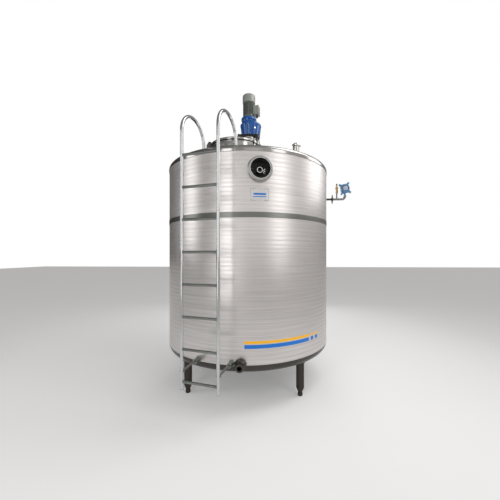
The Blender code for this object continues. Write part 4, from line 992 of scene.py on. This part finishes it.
def makeOutlet():
    at = outwards(bearing("outlet_nozzle"), 0, middle("outlet_nozzle").z)
    tip, collar = tankR + outlet["reach"], tankR + outlet["collarReach"]
    pipe, bore = outlet["pipe"], outlet["bore"]
    body = [(0, tankR - 0.004), (bore, tankR - 0.004), (bore, tip - 0.001), (bore + 0.002, tip),
            (outlet["lip"], tip), (outlet["lip"], tip - 0.008), (pipe + 0.001, tip - 0.014),
            (pipe, tip - 0.020), (pipe, collar + 0.020), (pipe + 0.006, collar + 0.012),
            (outlet["collar"], collar), (outlet["collar"], tankR - outlet["sunk"]),
            (0, tankR - outlet["sunk"])]
    piece("outlet_spout", [turned(body, 64, at, 0.002)], "dark", "outlet_nozzle")


vent = dict(r=0.036, ferrule=0.0405, height=0.106, reach=0.118, clamp=0.046, gap=0.0003,
            lug=(0.012, 0.018, 0.014), wing=(0.008, 0.004, 0.026))


def makeVent():
    # a pipe square to the cone, with its lid clamped on
    here, lean = middle("vent_cap"), roof["slope"]
    far = hypot(here.x - axisX, here.y - axisY) - vent["reach"] * sin(lean)
    base = aroundTank(bearing("vent_cap"), far, roofHeight(far), lean)
    r, f, top, c, gap = vent["r"], vent["ferrule"], vent["height"], vent["clamp"], vent["gap"]
    nozzle = [(0, -0.01), (r + 0.003, -0.01), (r, 0.006), (r, top - 0.018), (f, top - 0.010), (f, top),
              (0, top)]
    weld = [(r - 0.002, -0.008), (r + 0.007, -0.002), (r + 0.005, 0.003), (r, 0.006)]
    piece("vent_pipe", [turned(nozzle, 64, base, 0.002), turned(weld, 64, base, 0.001, closed=True)], "neck",
          "vent_nozzle")
    cap = [(0, top + gap), (f, top + gap), (f, top + 0.006 + gap), (f - 0.006, top + 0.010 + gap),
           (f - 0.012, top + 0.018 + gap), (0, top + 0.018 + gap)]
    piece("vent_lid", [turned(cap, 64, base, 0.002)], "bright", "vent_cap")
    ring = [(f + gap, top - 0.011), (c - 0.002, top - 0.011), (c, top - 0.006), (c, top + 0.002),
            (c - 0.002, top + 0.0066), (f + gap, top + 0.0066)]
    lug = base @ move(c + 0.002, 0, top - 0.002)
    piece("vent_clamp_ring", [turned(ring, 64, base, 0.001, closed=True),
                              slab(*vent["lug"], 0.003, 0.001, lug),
                              placed(rod((0.001, -0.014, 0), (0.001, 0.012, 0), 0.003, 12), lug),
                              slab(*vent["wing"], 0.002, 0.001, lug @ move(0.003, 0.010, 0.004))],
          "bright", "vent_clamp")


ladder = dict(angle=-14.2, at=1.275, width=0.358, rail=0.015, rung=0.0125, hoop=0.197, spring=2.635,
              pad=0.030, padT=0.004, strut=0.011, socket=0.024, socketReach=0.075, knuckle=0.0185)
ladderAt = tankAxis @ rotate(radians(ladder["angle"]))


def makeLadder():
    # each rail goes straight up, over a half circle and down to a pad on the roof
    front, half, r, base = -ladder["at"], ladder["width"] / 2, ladder["rail"], lowZ("rail_left")
    arc, a = ladder["hoop"], np.linspace(0, pi, 40)
    back = front + 2 * arc
    arch = np.stack([0 * a, front + arc * (1 - np.cos(a)), ladder["spring"] + arc * np.sin(a)], 1)
    rise = np.linspace((0, front, base + 0.05), (0, front, 2.60), 24)
    for side, x in (("left", -half), ("right", half)):
        foot, padT = roofHeight(hypot(x, back)), ladder["padT"]
        line = np.concatenate([[(0, front, base), (0, front, base + 0.001)], rise, arch,
                               [(0, back, foot - 0.006)]])
        flange = [(0, -0.006), (ladder["pad"], -0.006), (ladder["pad"], padT), (r + 0.003, padT + 0.001),
                  (r, padT + 0.005), (0, padT)]
        toe = [(0, base), (r - 0.002, base), (r, base - 0.0001), (r, base + 0.004), (0, base + 0.004)]
        piece("ladder_rail_" + side, [
            placed(tube(line + (x, 0, 0), r, 28), ladderAt),
            turned(flange, 40, ladderAt @ move(x, back, foot) @ rotate(-roof["slope"] * 0.9, "X"), 0.001),
            turned(toe, 28, ladderAt @ move(x, front))], "rail", "rail_" + side)
        makeStrut(side, x)
    bar, end = ladder["rung"], half - r
    bead = [(bar - 0.001, 0), (bar + 0.003, 0), (bar - 0.001, 0.006)]
    for k in range(1, 9):
        z = middle("rung_%d" % k).z
        solids = [placed(rod((-half, front, z), (half, front, z), bar), ladderAt)]
        for sign in (-1, 1):
            there = ladderAt @ move(sign * end, front, z) @ rotate(-sign * pi / 2, "Y")
            solids.append(turned(bead, 24, there, 0.001, closed=True))
        piece("ladder_rung_%d" % k, solids, "rung", "rung_%d" % k)


def makeStrut(side, x):
    # a bar from the rail into a socket on the cladding
    z, r, bar = middle("strut_" + side).z, ladder["socket"], ladder["strut"]
    surface = (tankR ** 2 - x ** 2) ** 0.5
    end = surface + ladder["socketReach"]
    sleeve = [(0, surface - 0.020), (r + 0.007, surface - 0.020), (r + 0.007, surface + 0.004),
              (r, surface + 0.008), (r, end), (bar, end), (0, end)]
    inwards = ladderAt @ move(x, 0, z) @ rotate(pi / 2, "X")
    piece("strut_sleeve_" + side, [turned(sleeve, 40, inwards, 0.0015)],
          "rung", "strut_socket_" + side)
    bars = [rod((x, 0.004 - end, z), (x, -ladder["at"], z), bar),
            rod((x, -ladder["at"] - 0.006, z), (x, -ladder["at"] + 0.022, z), ladder["knuckle"], 24, 0.002)]
    piece("ladder_strut_" + side, [placed(solid, ladderAt) for solid in bars], "rung", "strut_" + side)


gauge = dict(pipe=0.013, ferrule=0.025, clampR=0.031, bend=0.035, branch=0.0095, clampHalf=0.0078,
             clampLug=(0.014, 0.016, 0.012), wing=(0.005, 0.004, 0.022), wingLean=0.6, teeFrom=0.019,
             teeTo=0.024)


def makeGauge():
    # the line runs out of the tank on its right: stub, clamp, elbow and tee
    z, joint, wall = middle("gauge_clamp").z, middle("gauge_clamp").x, axisX + tankR
    right = move(0, axisY, z) @ rotate(pi / 2, "Y")
    r, f, c, half = gauge["pipe"], gauge["ferrule"], gauge["clampR"], gauge["clampHalf"]
    stub = [(0, wall - 0.015), (r + 0.008, wall - 0.015), (r + 0.008, wall + 0.003), (r, wall + 0.007),
            (r, joint - 0.014), (f, joint - 0.006), (f, joint), (0, joint)]
    piece("gauge_stub", [turned(stub, 40, right, 0.001)], "dark", "gauge_nozzle", slot="shell_stainless")
    ring = [(f + 0.0003, joint - half), (c - 0.001, joint - half), (c, joint - 0.004), (c, joint + 0.004),
            (c - 0.001, joint + half), (f + 0.0003, joint + half)]
    solids, reach = [turned(ring, 48, right, 0.001, closed=True)], span("gauge_clamp").z / 2
    for sign in (1, -1):
        y = axisY - 0.005 * sign
        solids.append(slab(*gauge["clampLug"], 0.003, 0.001, move(joint, axisY, z + sign * (c + 0.004))))
        solids.append(rod((joint, y, z + sign * (c + 0.008)), (joint, y, z + sign * (reach - 0.002)), 0.0035,
                          12))
        for lean in (-gauge["wingLean"], gauge["wingLean"]):
            solids.append(slab(*gauge["wing"], 0.0015, 0.001, move(joint, y, z + sign * (reach - 0.008))
                               @ rotate(lean, "Y")))
    piece("gauge_clamp_ring", solids, "dark", "gauge_clamp", slot="bright_stainless")
    x, top, bend = middle("transmitter_neck").x, highZ("gauge_pipe"), gauge["bend"]
    a = np.linspace(0, pi / 2, 16)
    elbow = np.stack([x - bend + bend * np.sin(a), axisY + 0 * a, z + bend - bend * np.cos(a)], 1)
    line = np.concatenate([[(joint + 0.002, axisY, z), (joint + 0.02, axisY, z)], elbow, [(x, axisY, top)]])
    ferrule = [(0, joint + 0.0003), (f, joint + 0.0003), (f, joint + 0.006), (r, joint + 0.014),
               (0, joint + 0.014)]
    nut = turned(disc(r + 0.007, top - 0.018, top), 6, move(x, axisY))
    piece("gauge_elbow", [tube(line, r, 28), turned(ferrule, 40, right, 0.001), nut], "rung", "gauge_pipe",
          slot="shell_stainless")
    tee, branch = middle("gauge_branch").x, gauge["branch"]
    solids = [rod((tee, axisY, z), (tee, axisY, highZ("gauge_branch")), branch)]
    for sign in (-1, 1):
        start, end = tee + sign * gauge["teeFrom"], tee + sign * gauge["teeTo"]
        solids.append(rod((start, axisY, z), (end, axisY, z), r + 0.002, 24, 0.001))
    solids.append(turned([(branch - 0.001, 0), (r, 0), (r, 0.010), (branch + 0.001, 0.018)], 24,
                         move(tee, axisY, z), closed=True))
    piece("gauge_tee", solids, "rung", "gauge_branch", slot="shell_stainless")


# profiles of the relief fitting, in shares of its radius and its height
reliefHex = [(0, 0), (1, 0), (1, 0.24), (0.9, 0.28), (0, 0.28)]
reliefUpper = [(0, 0.40), (1, 0.40), (1, 0.58), (0.9, 0.61), (0, 0.61)]
reliefKnob = [(0, 0.83), (0.50, 0.83), (0.56, 0.90), (0.40, 1), (0, 1)]


def makeRelief():
    low, high, r = lowZ("relief_fitting"), highZ("relief_fitting"), span("relief_fitting").x / 2
    size, at = np.array((r, high - low)), move(middle("gauge_branch").x, axisY, low)
    piece("relief_body", [turned(reliefHex * size, 6, at), turned(disc(0.66, 0.26, 0.42) * size, 28, at),
                          turned(reliefUpper * size, 6, at @ rotate(radians(20))),
                          turned(disc(0.60, 0.60, 0.84) * size, 28, at, 0.001)], "brass", "relief_fitting")
    piece("relief_cap", [turned(reliefKnob * size, 24, at, 0.001)], "black")


head = dict(r=0.055, half=0.040, lean=radians(12), lugX=0.056, lugZ=0.060, lug=0.013,
            lugBolt=(0.006, 0.005, 1.2), window=0.036, glandAngle=-38, stemNut=0.006)


def makeHead():
    # a drum on a lugged slab, leaning over, with its window towards the front
    low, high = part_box("transmitter_neck")
    x, r, half, window = (low.x + high.x) / 2, head["r"], head["half"], head["window"]
    at = move(x, axisY, middle("transmitter_head").z) @ rotate(-head["lean"], "Y") @ rotate(pi / 2, "X")
    drum = [(0, -half), (r - 0.010, -half), (r, -half + 0.010), (r, half - 0.016), (r - 0.003, half - 0.014),
            (r - 0.003, half - 0.010), (r, half - 0.008), (r - 0.004, half - 0.002), (r - 0.010, half),
            (window + 0.005, half), (window + 0.003, half - 0.005), (0, half - 0.005)]
    solids = [turned(drum, 72, at, 0.0015),
              slab(2 * head["lugX"], 2 * head["lugZ"], 0.022, 0.012, 0.002, at)]
    for lugX in (-head["lugX"], head["lugX"]):
        for lugZ in (-head["lugZ"], head["lugZ"]):
            solids.append(turned(disc(head["lug"], -0.015, 0.015), 24, at @ move(lugX, lugZ), 0.002))
            solids += hexBolt(at @ move(lugX, lugZ, 0.0148), *head["lugBolt"])
    piece("gauge_head_case", solids, "paleBlue", "transmitter_head")
    glass = [(0, half - 0.0055), (window + 0.0032, half - 0.0055), (window, half - 0.002),
             (0, half - 0.0006)]
    piece("gauge_head_window", [turned(glass, 64, at, 0.0005)], "lilac")
    ring = [(window - 0.004, half - 0.002), (window + 0.0045, half - 0.002),
            (window + 0.0045, half + 0.0002), (window - 0.001, half + 0.0002)]
    side = at @ rotate(radians(head["glandAngle"])) @ rotate(pi / 2, "Y")
    cone = [(0, r + 0.004), (0.010, r + 0.004), (0.010, r + 0.012), (0.006, r + 0.016), (0, r + 0.016)]
    piece("gauge_head_trim", [turned(ring, 64, at, 0.0005, closed=True),
                              turned(disc(0.013, r - 0.004, r + 0.006), 6, side),
                              turned(cone, 24, side, 0.001)],
          "black")
    neckR, here = span("transmitter_neck").x / 2, move(x, axisY)
    piece("gauge_head_stem", [turned(disc(neckR, low.z, high.z + 0.01), 32, here),
                              turned(disc(neckR + head["stemNut"], low.z, low.z + 0.012), 6, here)],
          "paleBlue", "transmitter_neck")


def makeNameplate():
    # a rounded rectangle in the angle and the height, bent to the cladding, and closed in towards its middle
    z, high, angle, wide = middle("nameplate").z, span("nameplate").z, nameplate["angle"], nameplate["width"]
    loops = []
    face = [(0.0020, 0.0012, share) for share in (1, 0.985, 0.8, 0.6, 0.4, 0.2, 0.0)]
    for lift, drawn, share in [(0.0003, 0.0, 1), (0.0014, 0.0, 1)] + face:
        flat = outline(wide - 2 * drawn, high - 2 * drawn, nameplate["corner"], 6) * share
        a, radius = radians(angle) + flat[:, 0] / tankR, tankR + lift
        loops.append(np.stack([radius * np.sin(a), -radius * np.cos(a), z + flat[:, 1]], 1))
    piece("maker_plate", [placed(loft(np.array(loops)), tankAxis)], "plate", "nameplate")
    r = nameplate["rivet"]
    rivets = [turned([(0, -0.0005), (r, -0.0005), (r * 0.8, 0.0012), (0, 0.0018)], 16,
                     outwards(angle + degrees(x / tankR), tankR + 0.0019, z + up))
              for x in (0.009 - wide / 2, wide / 2 - 0.009) for up in (0.009 - high / 2, high / 2 - 0.009)]
    piece("plate_rivets", rivets, "bright")


stages = {
    "body": (makeShell, makeBand, makeRoof, makeBottom, makeLegs),
    "top": (makeManway, makeLid, makeHinge, makeClamp, makeStand, makeDrivePlate, makeGearbox, makeMotor,
            makeTerminalBox),
    "fittings": (makePort, makeOutlet, makeVent, makeLadder, makeGauge, makeRelief, makeHead, makeNameplate),
}
for stage, makers in stages.items():
    for make in makers:
        make()
    print(stage, "made")


# the stage, the lights and the camera

studio = dict(floor=(0.86, 0.86, 0.86), floorGlow=0.18, floorHalf=30, cameraFar=3.532, cameraTurn=5.53,
              cameraHeight=1.525, lookTurn=3.05, lens=19.08, shiftX=-0.0208, shiftY=0.0096)


def makeFloor():
    mesh, far = bpy.data.meshes.new("floor"), studio["floorHalf"]
    corners = np.array([[(x, y, 0) for x in (-far, far)] for y in (-far, far)], float)
    points, faces = loft(corners, ring=False)
    mesh.from_pydata(points.tolist(), [], faces)
    f = Finish("pale_floor", studio["floor"], 0.85, Emission_Color=(1, 1, 1),
               Emission_Strength=studio["floorGlow"])
    f.feed(Roughness=0.8 + f.noise(f.vector(*f.place()), 3.0) * 0.1)
    mesh.materials.append(f.material)
    ground = bpy.data.objects.new("floor", mesh)
    bpy.context.scene.collection.objects.link(ground)
    ground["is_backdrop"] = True


# soft boxes round the tank: angle from the front, distance, height of the middle, width, height, brightness
softboxes = {
    "frontLeft": (-19, 4.6, 2.4, 1.10, 3.6, 2.7),
    "front": (10, 4.6, 3.0, 1.60, 3.0, 0.30),
    "frontRight": (42, 4.6, 3.3, 1.30, 3.8, 1.9),
    "right": (100, 4.4, 4.2, 2.40, 2.6, 2.0),
    "left": (-69, 4.4, 3.0, 1.10, 2.8, 2.9),
    "back": (180, 4.8, 2.5, 2.40, 3.0, 2.2),
}
room = dict(bright=0.64, dark=0.06, side=(0.80, -0.55, 0.15), warm=(1.0, 0.975, 0.955), overhead=3.4,
            overheadSize=2.4, overheadAt=(2.6, -0.6, 5.6), overheadAim=1.5)


def areaLight(name, at, size, brightness, target):
    # the power of a soft box is its brightness times pi times its area
    lamp = bpy.data.lights.new(name, "AREA")
    lamp.shape = "RECTANGLE"
    lamp.size, lamp.size_y = size
    lamp.energy = brightness * pi * size[0] * size[1]
    light = bpy.data.objects.new(name, lamp)
    bpy.context.scene.collection.objects.link(light)
    light.location = at
    light.rotation_euler = (Vector(target) - Vector(at)).to_track_quat("-Z", "Y").to_euler()
    light.visible_camera = False


def makeStudio():
    # the room's glow goes from dark to bright towards its bright side, and is plain white behind the tank
    world = bpy.data.worlds.new("studio")
    bpy.context.scene.world = world
    world.use_nodes = True
    nodes, links = world.node_tree.nodes, world.node_tree.links
    nodes.clear()
    there, along, sky, soft, white, path, both, out = (nodes.new("ShaderNode" + kind) for kind in (
        "TexCoord", "VectorMath", "MapRange", "Background", "Background", "LightPath", "MixShader",
        "OutputWorld"))
    along.operation = "DOT_PRODUCT"
    along.inputs[1].default_value = room["side"]
    for key, value in {"From Min": -0.7, "From Max": 1.0, "To Min": room["dark"],
                       "To Max": room["bright"]}.items():
        sky.inputs[key].default_value = value
    soft.inputs["Color"].default_value = (*room["warm"], 1)
    white.inputs["Color"].default_value = (1, 1, 1, 1)
    for start, end in ((there.outputs["Generated"], along.inputs[0]),
                       (along.outputs["Value"], sky.inputs["Value"]),
                       (sky.outputs[0], soft.inputs["Strength"]), (path.outputs["Is Camera Ray"],
                                                                   both.inputs[0]),
                       (soft.outputs[0], both.inputs[1]), (white.outputs[0], both.inputs[2]),
                       (both.outputs[0], out.inputs[0])):
        links.new(start, end)
    for name, (angle, far, z, width, height, brightness) in softboxes.items():
        at = (axisX + far * sin(radians(angle)), axisY - far * cos(radians(angle)), z)
        areaLight(name, at, (width, height), brightness, (axisX, axisY, z))
    x, y, z = room["overheadAt"]
    areaLight("overhead", (axisX + x, axisY + y, z), (room["overheadSize"],) * 2, room["overhead"],
              (axisX, axisY, room["overheadAim"]))


def makeCamera():
    lens = bpy.data.cameras.new("camera")
    lens.lens, lens.sensor_width = studio["lens"], 36
    lens.shift_x, lens.shift_y = studio["shiftX"], studio["shiftY"]
    camera = bpy.data.objects.new("camera", lens)
    bpy.context.scene.collection.objects.link(camera)
    far, a = studio["cameraFar"], radians(studio["cameraTurn"])
    camera.location = (axisX + far * sin(a), axisY - far * cos(a), studio["cameraHeight"])
    camera.rotation_euler = (pi / 2, 0, radians(studio["lookTurn"]))
    bpy.context.scene.camera = camera


makeFloor()
makeStudio()
makeCamera()
bpy.context.scene.view_settings.view_transform = "Standard"
print("studio made")

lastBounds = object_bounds()
[[list(corner) for corner in box] for box in (firstBounds, lastBounds)]
